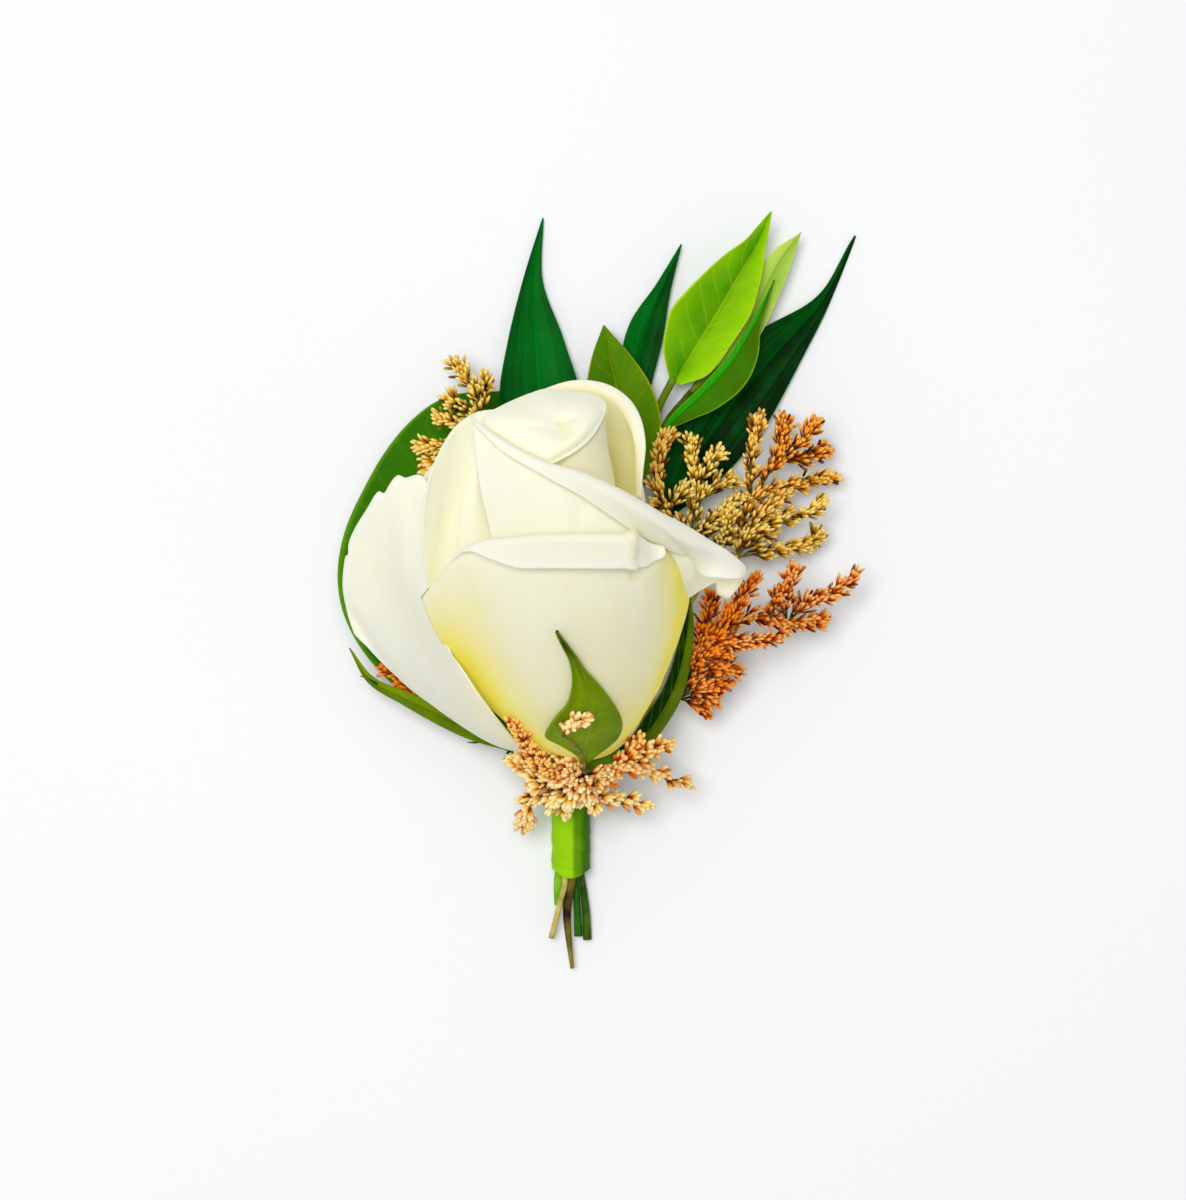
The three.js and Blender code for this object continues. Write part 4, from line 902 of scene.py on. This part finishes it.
# Pieces
def lay_petal(bm, name, spec, across, rows, waviness):
    petal = Petal(**spec)
    creases = CREASES.get(name, [])

    def place(u, t):
        v = petal.rows(u, t)
        point = petal.point(petal.inset(u, v), v)
        return point, petal.yellow(u, t) + (press(creases, point)[1] if creases else 0)

    def relief(u, t, point):
        soft = noise.noise(point * 0.11 + Vector((len(name), 0, 0)))
        fine = noise.noise(point * 0.3)
        return waviness * (soft + 0.3 * fine) * ease(0, 0.2, t) + press(creases, point)[0]

    lay_sheet(bm, across, rows, place, relief)


def make_petals(settings):
    for name, spec in PETALS.items():
        bm = fresh_mesh()
        across, rows = HIDDEN_GRID if name in HIDDEN_PETALS else SEEN_GRID
        lay_petal(bm, name, spec, across, rows, settings.waviness / MM)
        finish_piece("petal_" + name, bm, "rose_bloom", petal_material(), settings.thickness)


def make_bud():
    """The closed heart of the rose: a wall, a rounded margin and the folds over the top"""
    hood = vectors(HOOD)
    wall = vectors([(radius, height, 0) for radius, height in BUD_WALL])

    def place(u, t):
        edge = around(hood, u)
        inward = (HEART - edge).normalized()
        # The tint is yellow, the petals' own low down along with painted shade: most on the wall, less out to
        # and round the margin, least over the folds
        if t < 0.4:  # up the wall
            radius, height, _ = along(wall, t / 0.4)
            return rose(360 * u, radius, height), 0.5
        if t < 0.5:  # out to the margin
            neck = rose(360 * u, *BUD_WALL[-1])
            return neck.lerp(edge + inward * 1.2 - AXIS, (t - 0.4) / 0.1), 0.35
        if t < 0.6:  # round it
            turn = math.pi * (t - 0.5) / 0.1
            return edge + inward * (0.5 - 0.5 * math.sin(turn)) - UP * (0.4 + 0.4 * math.cos(turn)), 0.15
        fold = (t - 0.6) / 0.4  # and over the folds
        point = edge.lerp(HEART, fold) + inward * (0.5 * (1 - fold))
        point += UP * (HOOD_SWELL * math.sin(math.pi * fold) * (1 - fold) ** 0.7)
        height, yellow = press(CREASES["hood"], point)
        return point + UP * height, 0.05 + yellow

    bm = fresh_mesh()
    lay_sheet(bm, 120, 90, place, wrap=True)
    finish_piece("bud", bm, "rose_bloom", petal_material())


def lay_blade(bm, across, rows, groove, folds, spine, half, left=(), face=(0, 0, 1), fold=0.0, arch=0.0,
              wave=0.0, tint=(0.5, 0.5), glow=0.0):
    """Adds a leaf or sepal with a groove along its midrib and folds between its side veins"""
    spine, face = vectors(spine), Vector(face).normalized()

    def place(u, t):
        s = 2 * u - 1
        ahead = along(spine, min(t + 0.02, 1)) - along(spine, max(t - 0.02, 0))
        side = ahead.cross(face).normalized()
        reach = max(along(left if s < 0 and left else half, t), LEAST_REACH)
        lift = reach * (fold * abs(s) - arch * s * s) + wave * s * s * math.sin(6 * math.pi * t)
        share = ease(0.42, 0.58, u)
        # Painted light and shade: one half of the blade is painted lit and the other shaded, and the edge
        # term paints the edges lighter; below 0, darker
        shade = tint[0] + (tint[1] - tint[0]) * share + glow * (abs(s) - 0.5)
        return along(spine, t) + side * (s * reach) + face * lift, shade

    def relief(u, t, point):
        off = abs(2 * u - 1)
        size = max(along(half, t), LEAST_REACH) / max(half)
        swell = folds * math.sin(2 * math.pi * (SIDE_VEINS * t - VEIN_SLANT * off)) * off * (1 - off) * 2
        bend = 0.35 * noise.noise(point * 0.12) * off
        return (swell + bend - groove * math.exp(-(off / 0.07) ** 2)) * size

    lay_sheet(bm, across, rows, place, relief)


def make_sepals(settings):
    bm = fresh_mesh()
    for spec in SEPALS:
        lay_blade(bm, 12, 48, groove=0.2, folds=0.05, **spec)
    under = Petal(**PETALS["front_low"])
    left, right = vectors(FRONT_SEPAL["left"]), vectors(FRONT_SEPAL["right"])

    def place(s, t):
        off = 2 * s - 1
        u, v = along(left, t).lerp(along(right, t), s)
        across = under.point(u + STEP, v) - under.point(u - STEP, v)
        rise = under.point(u, v + STEP) - under.point(u, v - STEP)
        curl, groove = 0.3 * off * off * ease(0.1, 0.4, t), 0.2 * math.exp(-(off / 0.12) ** 2)
        tip = 0.9 * ease(0.72, 1, t)
        # The sepal's painted light and shade: a little darker to the right, darker along the curled left
        # margin and at the curled tip
        yellow = 0.8 - 0.15 * off - 0.8 * ease(0.75, 0.95, t) - 0.3 * ease(-0.4, -1, off)
        lift = FRONT_SEPAL["lift"] + curl - groove + tip
        return under.point(u, v) + across.cross(rise).normalized() * lift, yellow

    lay_sheet(bm, 22, 60, place)
    finish_piece("sepals", bm, "rose_stem_calyx",
                 leaf_material("sepal", strength=0.25, count=9.0, margin=0.25), settings.blade_thickness)
    bm = fresh_mesh()
    for path in BARBS:
        lay_tube(bm, path, (0.3, 0.05), 6, 6, tint=0.2)
    finish_piece("sepal_barbs", bm, "rose_stem_calyx", stem_material("green_stem"))


def make_hip():
    """The receptacle, spun round the rose's axis"""
    bm = fresh_mesh()
    profile = [bm.verts.new(metres(rose(0, radius, height))) for radius, height in HIP]
    edges = [bm.edges.new(pair) for pair in zip(profile, profile[1:])]
    bmesh.ops.spin(bm, geom=profile + edges, cent=metres(ROSE_BASE), axis=AXIS, angle=2 * math.pi, steps=32,
                   use_merge=True)
    bmesh.ops.remove_doubles(bm, verts=bm.verts[:], dist=1.2e-4)
    bmesh.ops.holes_fill(bm, edges=bm.edges[:], sides=0)
    bmesh.ops.recalc_face_normals(bm, faces=bm.faces[:])
    tint = bm.verts.layers.float["tint"]
    for v in bm.verts:
        v[tint] = 0.5
    finish_piece("hip", bm, "rose_stem_calyx", stem_material("hip_skin"))


def make_rose_stem():
    """The rose's own stem, pale at its brown cut end"""
    bm = fresh_mesh()
    lay_tube(bm, ROSE_STEM_PATH, (1, 0.95, 0.95, 0.95, 0.9, 0.65, 0.3), 16, 48,
             tint=(0.4, 0.4, 0.4, 0.4, 0.4, 0.55, 0.05, 0.95))
    finish_piece("rose_stem", bm, "rose_stem_calyx", stem_material("rose_stem"))


def ring_point(angle, y):
    turn = math.radians(angle)
    return (TAPE_X + RING * math.sin(turn), y, BUNDLE_Z + RING * math.cos(turn))


def through_tape(angle, above, below=()):
    """A thin stem's way: from above, round the rose's stem inside the tape, then out below, or to an
    end just inside"""
    inside = [ring_point(angle, y) for y in (TAPE_TOP + 1.8, -32, -36, TAPE_END + 1)]
    return [*above, *inside, *(below or [ring_point(angle, TAPE_END + 0.4)])]


def make_broad_leaf(settings):
    bm = fresh_mesh()
    lay_blade(bm, 36, 96, groove=0.35, folds=0.16, **BROAD_LEAF)
    finish_piece("broad_leaf_blade", bm, "broad_leaf",
                 leaf_material("broad_leaf", strength=0.15, count=15.0), settings.blade_thickness)
    bm = fresh_mesh()
    lay_tube(bm, through_tape(225, [(-7.4, -24.3, 0.9), (-6.2, -26.4, 1)],
                              [(-5.1, -42.2, 1.3), (-5.3, -45.6, 1.2)]),
             (THIN_STEM, THIN_STEM, 0.6, 0.9, 0.5), 12, 40, tint=0.6)
    finish_piece("broad_leaf_petiole", bm, "broad_leaf", stem_material("bright_petiole"))


def make_dark_sprig(settings):
    bm = fresh_mesh()
    for spec in DARK_LEAVES:
        lay_blade(bm, 24, 84, groove=0.3, folds=0.06, **spec)
    finish_piece("dark_leaves", bm, "dark_sprig",
                 leaf_material("dark_leaf", strength=0.12, count=19.0, margin=0.2, streaks=0.9),
                 settings.blade_thickness)
    bm = fresh_mesh()
    lay_tube(bm, through_tape(180, [(1, 8, 1.5), (1.2, -4, 1.2), (0.4, -18, 0.9), (-2.4, -27, 0.9)],
                              [(-2.6, -43, 1), (-2.35, -46.6, 1), (-2.2, -50.3, 0.9)]),
             (THIN_STEM, THIN_STEM, THIN_STEM, 0.64), 10, 48)
    for path in ([(0.6, 2, 1.3), (-2.2, 8, 1.5), (-4.9, 13.5, 1.5)],
                 [(1, 7, 1.5), (2.6, 14, 1.5), (4, 20.6, 1.5)],
                 [(0.9, 0, 1.3), (5, 6, 1.5), (10, 12.4, 1.7)]):
        lay_tube(bm, path, THIN_STEM, 8, 10)
    finish_piece("dark_stem", bm, "dark_sprig", stem_material("green_stem"))


def make_light_sprig(settings):
    for name, spec, veins in (("bright_leaf", BRIGHT_LEAF, 0.24), ("pale_leaf", PALE_LEAF, 0.2),
                              ("folded_leaf", FOLDED_LEAF, 0.1), ("olive_leaf", OLIVE_LEAF, 0.2)):
        bm = fresh_mesh()
        lay_blade(bm, 28, 84, groove=0.3, folds=0.08, **spec)
        finish_piece(name, bm, "light_sprig",
                     leaf_material(name, strength=veins, count=9.0, margin=0.8), settings.blade_thickness)
    bm = fresh_mesh()
    lay_tube(bm, through_tape(135, [(14.6, 31, 3.9), (10.6, 26, 3.6), (7.2, 17, 3.4), (6.2, 5, 3.1),
                                    (5.6, -10, 2.7), (3.4, -22, 2.2), (0.4, -26.6, 1.7)],
                              [(-1.5, -43, 1.3), (-1.05, -46.6, 1.2), (-0.85, -50.8, 1)]),
             (THIN_STEM, THIN_STEM, THIN_STEM, 0.66), 10, 48, tint=0.3)
    for path in ([(6.6, 12, 3.3), (5.9, 14.6, 3.5), (5.7, 16.8, 3.9)],
                 [(8.6, 22, 3.5), (9.6, 28, 4.4), (12, 33, 5.1)],
                 [(13.6, 30, 3.6), (16.2, 32.6, 2.8), (18.4, 34.6, 2.6)]):
        lay_tube(bm, path, (THIN_STEM, 0.6), 8, 10, tint=1)
    finish_piece("light_stem", bm, "light_sprig", stem_material("olive_stem"))


def make_tape(settings):
    """A sleeve of tape with facets over the stems on top, the laps of its windings and small wrinkles"""
    bm = fresh_mesh()

    def place(u, t):
        angle = 2 * math.pi * u
        to_side, to_top = math.sin(angle), math.cos(angle)
        end = TAPE_END - 1.3 * max(to_top, 0) ** 2
        y = end + (TAPE_TOP - end) * clamp((t - 0.06) / 0.88)
        fifth = math.pi / 5
        flat = math.cos(fifth) / math.cos((angle + fifth) % (2 * fifth) - fifth)
        radius = TAPE_RADIUS * (1 - 0.75 * max(to_top, 0) * (1 - flat))
        lap = (settings.windings * (y - TAPE_END) / (TAPE_TOP - TAPE_END) + u) % 1
        wrinkle = 0.09 * noise.noise(Vector((to_top * 4, y * 0.5, to_side * 4)))
        radius += 0.12 * ease(0, 0.1, lap) * (1 - lap) + wrinkle
        radius *= 0.84 if t < 0.04 or t > 0.96 else 1  # the ends turn in
        # Painted light and shade: the tape's left side is lit and its right side painted in shade; a thin
        # darker line where each lap begins
        yellow = 1 - 0.75 * ease(0, 0.3, to_side) - 0.3 * ease(0.4, 0.9, to_side) - 0.08 * ease(0.08, 0, lap)
        return Vector((TAPE_X + radius * to_side, y, max(BUNDLE_Z + radius * to_top, 0.02))), yellow

    lay_sheet(bm, 72, 90, place, wrap=True)
    finish_piece("tape", bm, "tape_wrap", tape_material())


@functools.cache
def floret_template():
    """One floret: a slender club, standing up from its root"""
    bm = bmesh.new()
    bmesh.ops.create_uvsphere(bm, u_segments=5, v_segments=4, radius=0.5)
    for v in bm.verts:
        t = v.co.z + 0.5
        width = 0.5 + 0.9 * t
        v.co = Vector((v.co.x * width + 0.3 * t * t, v.co.y * width, t))
    return as_mesh(bm, "floret")


def heading(path, t):
    return (along(path, t + 0.02) - along(path, t - 0.02)).normalized()


def way_length(path):
    return sum((b - a).length for a, b in zip(path, path[1:]))


def side_twigs(path, rng):
    """The short twigs that leave a branch, turn about, towards its tip"""
    count = round(way_length(path) / TWIG_SPACING)
    for k in range(count):
        t = (k + 0.5) / (count + 0.6)
        ahead = heading(path, t)
        side = ahead.cross(UP).normalized() * (1 if k % 2 else -1)
        way = (ahead + side * rng.uniform(0.35, 0.7) + UP * rng.uniform(-0.1, 0.4)).normalized()
        root, size = along(path, t), SIDE_TWIG * (1.1 - 0.6 * t) * rng.uniform(0.7, 1.15)
        yield [root, root + way * (size * 0.5), root + (way + ahead * 0.35).normalized() * size]


def floret_places(path, bare, rows, rng, settings):
    """The root, direction, length and painted light of each floret of one twig, those facing down
    painted in shade, and one more at its end"""
    count = max(2, round(way_length(path) * (1 - bare) * MM / settings.spacing))
    for k in range(count):
        t = bare + (1 - bare) * (k + 0.6 * rng.random()) / count
        ahead = heading(path, t)
        side = ahead.cross(UP).normalized()
        rise = side.cross(ahead)
        for row in range(rows):
            turn = math.radians(-60 + 300 * (row + 0.9 * rng.random()) / rows)
            out = side * math.cos(turn) + rise * math.sin(turn)
            spread = rng.uniform(0.2, 0.5) * (1.1 - 0.5 * t)
            size = rng.uniform(0.7, 1.2) * settings.floret_length / MM * (1 - 0.25 * t)
            # Painted light: florets facing up are lighter, those facing down painted in shade, with a random
            # part
            light = 0.3 * rng.random() + 0.6 * clamp(0.45 + 0.55 * out.z)
            yield along(path, t) + out * (TWIG * 0.5), (ahead + out * spread).normalized(), size, light
    yield along(path, 1), heading(path, 0.97), settings.floret_length / MM * 0.8, 1


def make_spray(name, branches, seed, stems, slot, settings):
    """One bunch: its stems and twigs as one piece, and the florets along them as another"""
    rng = random.Random(seed)
    twigs = []
    for points, warmth in zip(branches, WARMTH[name]):
        path = vectors(points)
        path[-1] += (path[-2] - path[-1]).normalized() * (DRAWN_BACK * settings.floret_length / MM)
        twigs.append((path, BARE_BRANCH, settings.rows, warmth))
        twigs += [(side, BARE_TWIG, TWIG_ROWS, warmth) for side in side_twigs(path, rng)]
    bm = fresh_mesh()
    for points, radius in stems:
        lay_tube(bm, points, radius, 8, 8 * len(points), PALE_BY_GIRTH * radius)
    for path, *_ in twigs:
        # The twigs are dark: their own dark brown, deepened as painted shade in the gaps between the florets
        lay_tube(bm, path, (TWIG, TWIG, 0.1), 5, 3 * len(path) if len(path) > 3 else 4, tint=0.15)
    finish_piece(name + "_stems", bm, name, stem_material("filler_stem"))

    bm = fresh_mesh("reach", "warmth")
    tint, reach, warm = (bm.verts.layers.float[key] for key in ("tint", "reach", "warmth"))
    template = floret_template()
    places = [(*place, warmth) for path, bare, rows, warmth in twigs
              for place in floret_places(path, bare, rows, rng, settings)]
    for _ in places:
        bm.from_mesh(template)
    bm.verts.ensure_lookup_table()
    count = len(template.vertices)
    width = settings.floret_width / MM * (NECK_GIRTH if name == "spray_neck" else 1)
    for k, (root, direction, size, light, warmth) in enumerate(places):
        side = direction.orthogonal().normalized()
        side.rotate(Matrix.Rotation(rng.uniform(0, 6.28), 3, direction))
        other = direction.cross(side)
        girth = width * rng.uniform(0.85, 1.15)
        for v in bm.verts[k * count:(k + 1) * count]:
            x, y, z = v.co
            # The tint carries each floret's painted light
            v[tint], v[reach], v[warm] = light, z, warmth
            v.co = metres(root + (side * x + other * y) * girth + direction * (z * size))
    finish_piece(name + "_florets", bm, name, filler_material(slot.split("_")[1]))


def make_sprays(settings):
    make_spray("spray_upper_right", UPPER_RIGHT, 11, [
        (through_tape(90, [UPPER_FORK, (16, 2, 4.6), (11, -8, 3.4), (7.2, -19, 3.3), (2.4, -26, 3.1)]),
         THIN_STEM),
        ([(12.6, -5, 3.7), (14, 3, 4.8), UPPER_SIDE_FORK], THIN_STEM),
        ([UPPER_SIDE_FORK, (18.2, 7.4, 6.6), UPPER_FORK], THIN_STEM)], "filler_tan", settings)
    make_spray("spray_lower_right", LOWER_RIGHT, 23, [
        (through_tape(45, [LOWER_FORK, (9.6, -19, 6.9), (6, -23.4, 5.6), (1.8, -26.8, 4.9)]),
         THIN_STEM)], "filler_orange", settings)
    make_spray("spray_upper_left", UPPER_LEFT, 37, [
        (through_tape(315, [(-16.1, 25.9, 6), (-14.6, 15, 4.6), (-12.6, 0, 4.2), (-9.6, -16, 4.3),
                            (-6.6, -25, 4.4)],
                      [(-4.2, -42, 4), (-4.9, -45, 3.4), (-6.2, -50.4, 2.6)]),
         THIN_STEM)], "filler_tan", settings)
    make_spray("spray_lower_left", LOWER_LEFT, 41, [
        (through_tape(270, [(-17, -17.6, 4.5), (-12, -21, 4.4), (-7.6, -26, 3.6)]),
         THIN_STEM)], "filler_orange", settings)
    make_spray("spray_neck", NECK, 53, [
        (through_tape(0, [NECK_FORK, (-2.4, -26.4, 12.6), (-3.6, -26.8, 9.4), (-3.8, -27.6, 6.6)]),
         THIN_STEM),
        ([NECK_FORK, (-2, -26, 13.4), (-3, -27, 12)], THIN_STEM),
        ([NECK_FORK, (-1.4, -22.6, 23.3), (-2.8, -20.1, 29.6), (-4.2, -19, 31.7)], TWIG)],
               "filler_cream", settings)


def make_stage(settings):
    """A pale table, soft light from above and the camera straight over it"""
    bm = bmesh.new()
    bmesh.ops.create_grid(bm, x_segments=1, y_segments=1, size=TABLE_REACH)
    table = add_object("table", as_mesh(bm, "table"))
    material, tree, sockets = new_material("table_top", Roughness=0.9, Specular_IOR_Level=0.1)
    cloud = speckle(tree, coordinates(tree, "Object"), scale=6, detail=2)
    pale = tuple(settings.table)
    connect(tree, sockets, Base_Color=blend(tree, cloud, pale, tuple(c * 0.97 for c in pale)))
    table.data.materials.append(material)

    scene = bpy.context.scene
    world = bpy.data.worlds.new("daylight")
    world.use_nodes = True
    sky = world.node_tree.nodes["Background"].inputs
    sky["Color"].default_value = (1, 1, 1, 1)
    sky["Strength"].default_value = settings.daylight
    scene.world = world
    lamp = bpy.data.lights.new("window", "AREA")
    lamp.energy = settings.window
    lamp.size = WINDOW_SIZE
    window = add_object("window", lamp)
    window.location = WINDOW_PLACE
    window.rotation_euler = (-window.location).to_track_quat("-Z", "Y").to_euler()

    lens = bpy.data.cameras.new("camera")
    lens.sensor_width, lens.lens = 36, 90
    camera = add_object("camera", lens)
    camera.location = metres(UP * VIEW_HEIGHT)
    scene.camera = camera
    scene.view_settings.view_transform = "Standard"


# What a user may change
def length(name, description, default):
    return FloatProperty(name=name, description=description, default=default, min=0, unit="LENGTH",
                         precision=5)


def colour(name, description, default):
    return FloatVectorProperty(name=name, description=description, default=default, subtype="COLOR", min=0,
                               max=1)


class RoseSettings(bpy.types.PropertyGroup):
    thickness: length("Petal thickness", "How thick each petal is", 0.0003)
    waviness: length("Waviness", "How far the petals swell in and out", 0.0003)
    veins: FloatProperty(name="Veins", description="How much the veins show", default=0.07, min=0, max=1)
    white: colour("White", "The petals' own white", tone(247, 247, 227))
    # The yellow is also the colour of the painted shade in creases and along the flanks, and of the petals'
    # painted light
    yellow: colour("Yellow", "The petals' colour towards their claws", tone(232, 218, 88))


class LeafSettings(bpy.types.PropertyGroup):
    blade_thickness: length("Blade thickness", "How thick leaves and sepals are", 0.0003)
    dark: colour("Dark leaves", "The light side of the dark leaves", tone(0, 112, 26))
    light: colour("Bright leaves", "The light side of the bright leaf", tone(150, 208, 0))


class FillerSettings(bpy.types.PropertyGroup):
    spacing: length("Spacing", "From one floret to the next along a twig", 0.0009)
    rows: IntProperty(name="Rows", description="Rows of florets round a branch", default=4, min=1, max=12)
    floret_length: length("Floret length", "From the twig to the floret's tip", 0.0024)
    floret_width: length("Floret width", "Across the floret's belly", 0.0005)
    tan: colour("Tan", "The tan bunches", tone(200, 146, 14))
    orange: colour("Orange", "The orange bunches", tone(197, 74, 0))
    cream: colour("Cream", "The cream bunch at the neck", tone(255, 204, 88))


class TapeSettings(bpy.types.PropertyGroup):
    windings: FloatProperty(name="Windings", description="Turns of tape round the stems", default=3.4, min=0)
    # Colour is the tape's lit side and Shade its side in painted shade
    colour: colour("Colour", "The tape's lit side", tone(148, 206, 0))
    shade: colour("Shade", "The tape's stretched side", tone(60, 112, 0))


class StageSettings(bpy.types.PropertyGroup):
    table: colour("Table", "The table's colour", tone(243, 244, 246))
    daylight: FloatProperty(name="Daylight", description="Strength of the soft light all round", default=0.45,
                            min=0)
    window: FloatProperty(name="Window", description="Power of the window light", default=8.5, min=0,
                          unit="POWER")


class BOUTONNIERE_OT_petals(bpy.types.Operator):
    """Lay the rose's petals round the bud"""

    bl_idname = "boutonniere.petals"
    bl_label = "Petals"

    def execute(self, context):
        make_petals(context.scene.rose_settings)
        return {"FINISHED"}


class BOUTONNIERE_OT_bud(bpy.types.Operator):
    """Fold the closed bud at the heart of the rose"""

    bl_idname = "boutonniere.bud"
    bl_label = "Bud"

    def execute(self, context):
        make_bud()
        return {"FINISHED"}


class BOUTONNIERE_OT_calyx(bpy.types.Operator):
    """Make the rose's sepals, hip and stem"""

    bl_idname = "boutonniere.calyx"
    bl_label = "Calyx and stem"

    def execute(self, context):
        make_sepals(context.scene.leaf_settings)
        make_hip()
        make_rose_stem()
        return {"FINISHED"}


class BOUTONNIERE_OT_broad_leaf(bpy.types.Operator):
    """Lay the broad leaf behind the rose"""

    bl_idname = "boutonniere.broad_leaf"
    bl_label = "Broad leaf"

    def execute(self, context):
        make_broad_leaf(context.scene.leaf_settings)
        return {"FINISHED"}


class BOUTONNIERE_OT_dark_sprig(bpy.types.Operator):
    """Lay the sprig of narrow dark leaves"""

    bl_idname = "boutonniere.dark_sprig"
    bl_label = "Dark sprig"

    def execute(self, context):
        make_dark_sprig(context.scene.leaf_settings)
        return {"FINISHED"}


class BOUTONNIERE_OT_light_sprig(bpy.types.Operator):
    """Lay the sprig of bright leaves"""

    bl_idname = "boutonniere.light_sprig"
    bl_label = "Bright sprig"

    def execute(self, context):
        make_light_sprig(context.scene.leaf_settings)
        return {"FINISHED"}


class BOUTONNIERE_OT_tape(bpy.types.Operator):
    """Wind the green tape round the stems"""

    bl_idname = "boutonniere.tape"
    bl_label = "Tape"

    def execute(self, context):
        make_tape(context.scene.tape_settings)
        return {"FINISHED"}


class BOUTONNIERE_OT_sprays(bpy.types.Operator):
    """Set the florets along the filler's twigs"""

    bl_idname = "boutonniere.sprays"
    bl_label = "Dried filler"

    def execute(self, context):
        make_sprays(context.scene.filler_settings)
        return {"FINISHED"}


class BOUTONNIERE_OT_stage(bpy.types.Operator):
    """Set up the table, the light and the camera"""

    bl_idname = "boutonniere.stage"
    bl_label = "Stage"

    def execute(self, context):
        make_stage(context.scene.stage_settings)
        return {"FINISHED"}


OPERATORS = (BOUTONNIERE_OT_stage, BOUTONNIERE_OT_petals, BOUTONNIERE_OT_bud, BOUTONNIERE_OT_calyx,
             BOUTONNIERE_OT_broad_leaf, BOUTONNIERE_OT_dark_sprig, BOUTONNIERE_OT_light_sprig,
             BOUTONNIERE_OT_tape, BOUTONNIERE_OT_sprays)
SETTINGS = {"rose_settings": RoseSettings, "leaf_settings": LeafSettings, "filler_settings": FillerSettings,
            "tape_settings": TapeSettings, "stage_settings": StageSettings}


class BOUTONNIERE_PT_panel(bpy.types.Panel):
    """The boutonniere's pieces and settings"""

    bl_idname = "BOUTONNIERE_PT_panel"
    bl_label = "White-rose boutonniere"
    bl_space_type = "VIEW_3D"
    bl_region_type = "UI"
    bl_category = "Boutonniere"

    def draw(self, context):
        for operator in OPERATORS:
            self.layout.operator(operator.bl_idname)
        for name, group in SETTINGS.items():
            box = self.layout.box()
            for key in group.__annotations__:
                box.prop(getattr(context.scene, name), key)


def register():
    for cls in (*SETTINGS.values(), *OPERATORS, BOUTONNIERE_PT_panel):
        bpy.utils.register_class(cls)
    for name, group in SETTINGS.items():
        setattr(bpy.types.Scene, name, PointerProperty(type=group))


def unregister():
    for name in SETTINGS:
        delattr(bpy.types.Scene, name)
    for cls in reversed((*SETTINGS.values(), *OPERATORS, BOUTONNIERE_PT_panel)):
        bpy.utils.unregister_class(cls)


def main():
    register()
    bpy.ops.boutonniere.stage()
    bpy.ops.boutonniere.petals()
    bpy.ops.boutonniere.bud()
    bpy.ops.boutonniere.calyx()
    bpy.ops.boutonniere.broad_leaf()
    bpy.ops.boutonniere.dark_sprig()
    bpy.ops.boutonniere.light_sprig()
    bpy.ops.boutonniere.tape()
    bpy.ops.boutonniere.sprays()


if __name__ == "__main__":
    main()
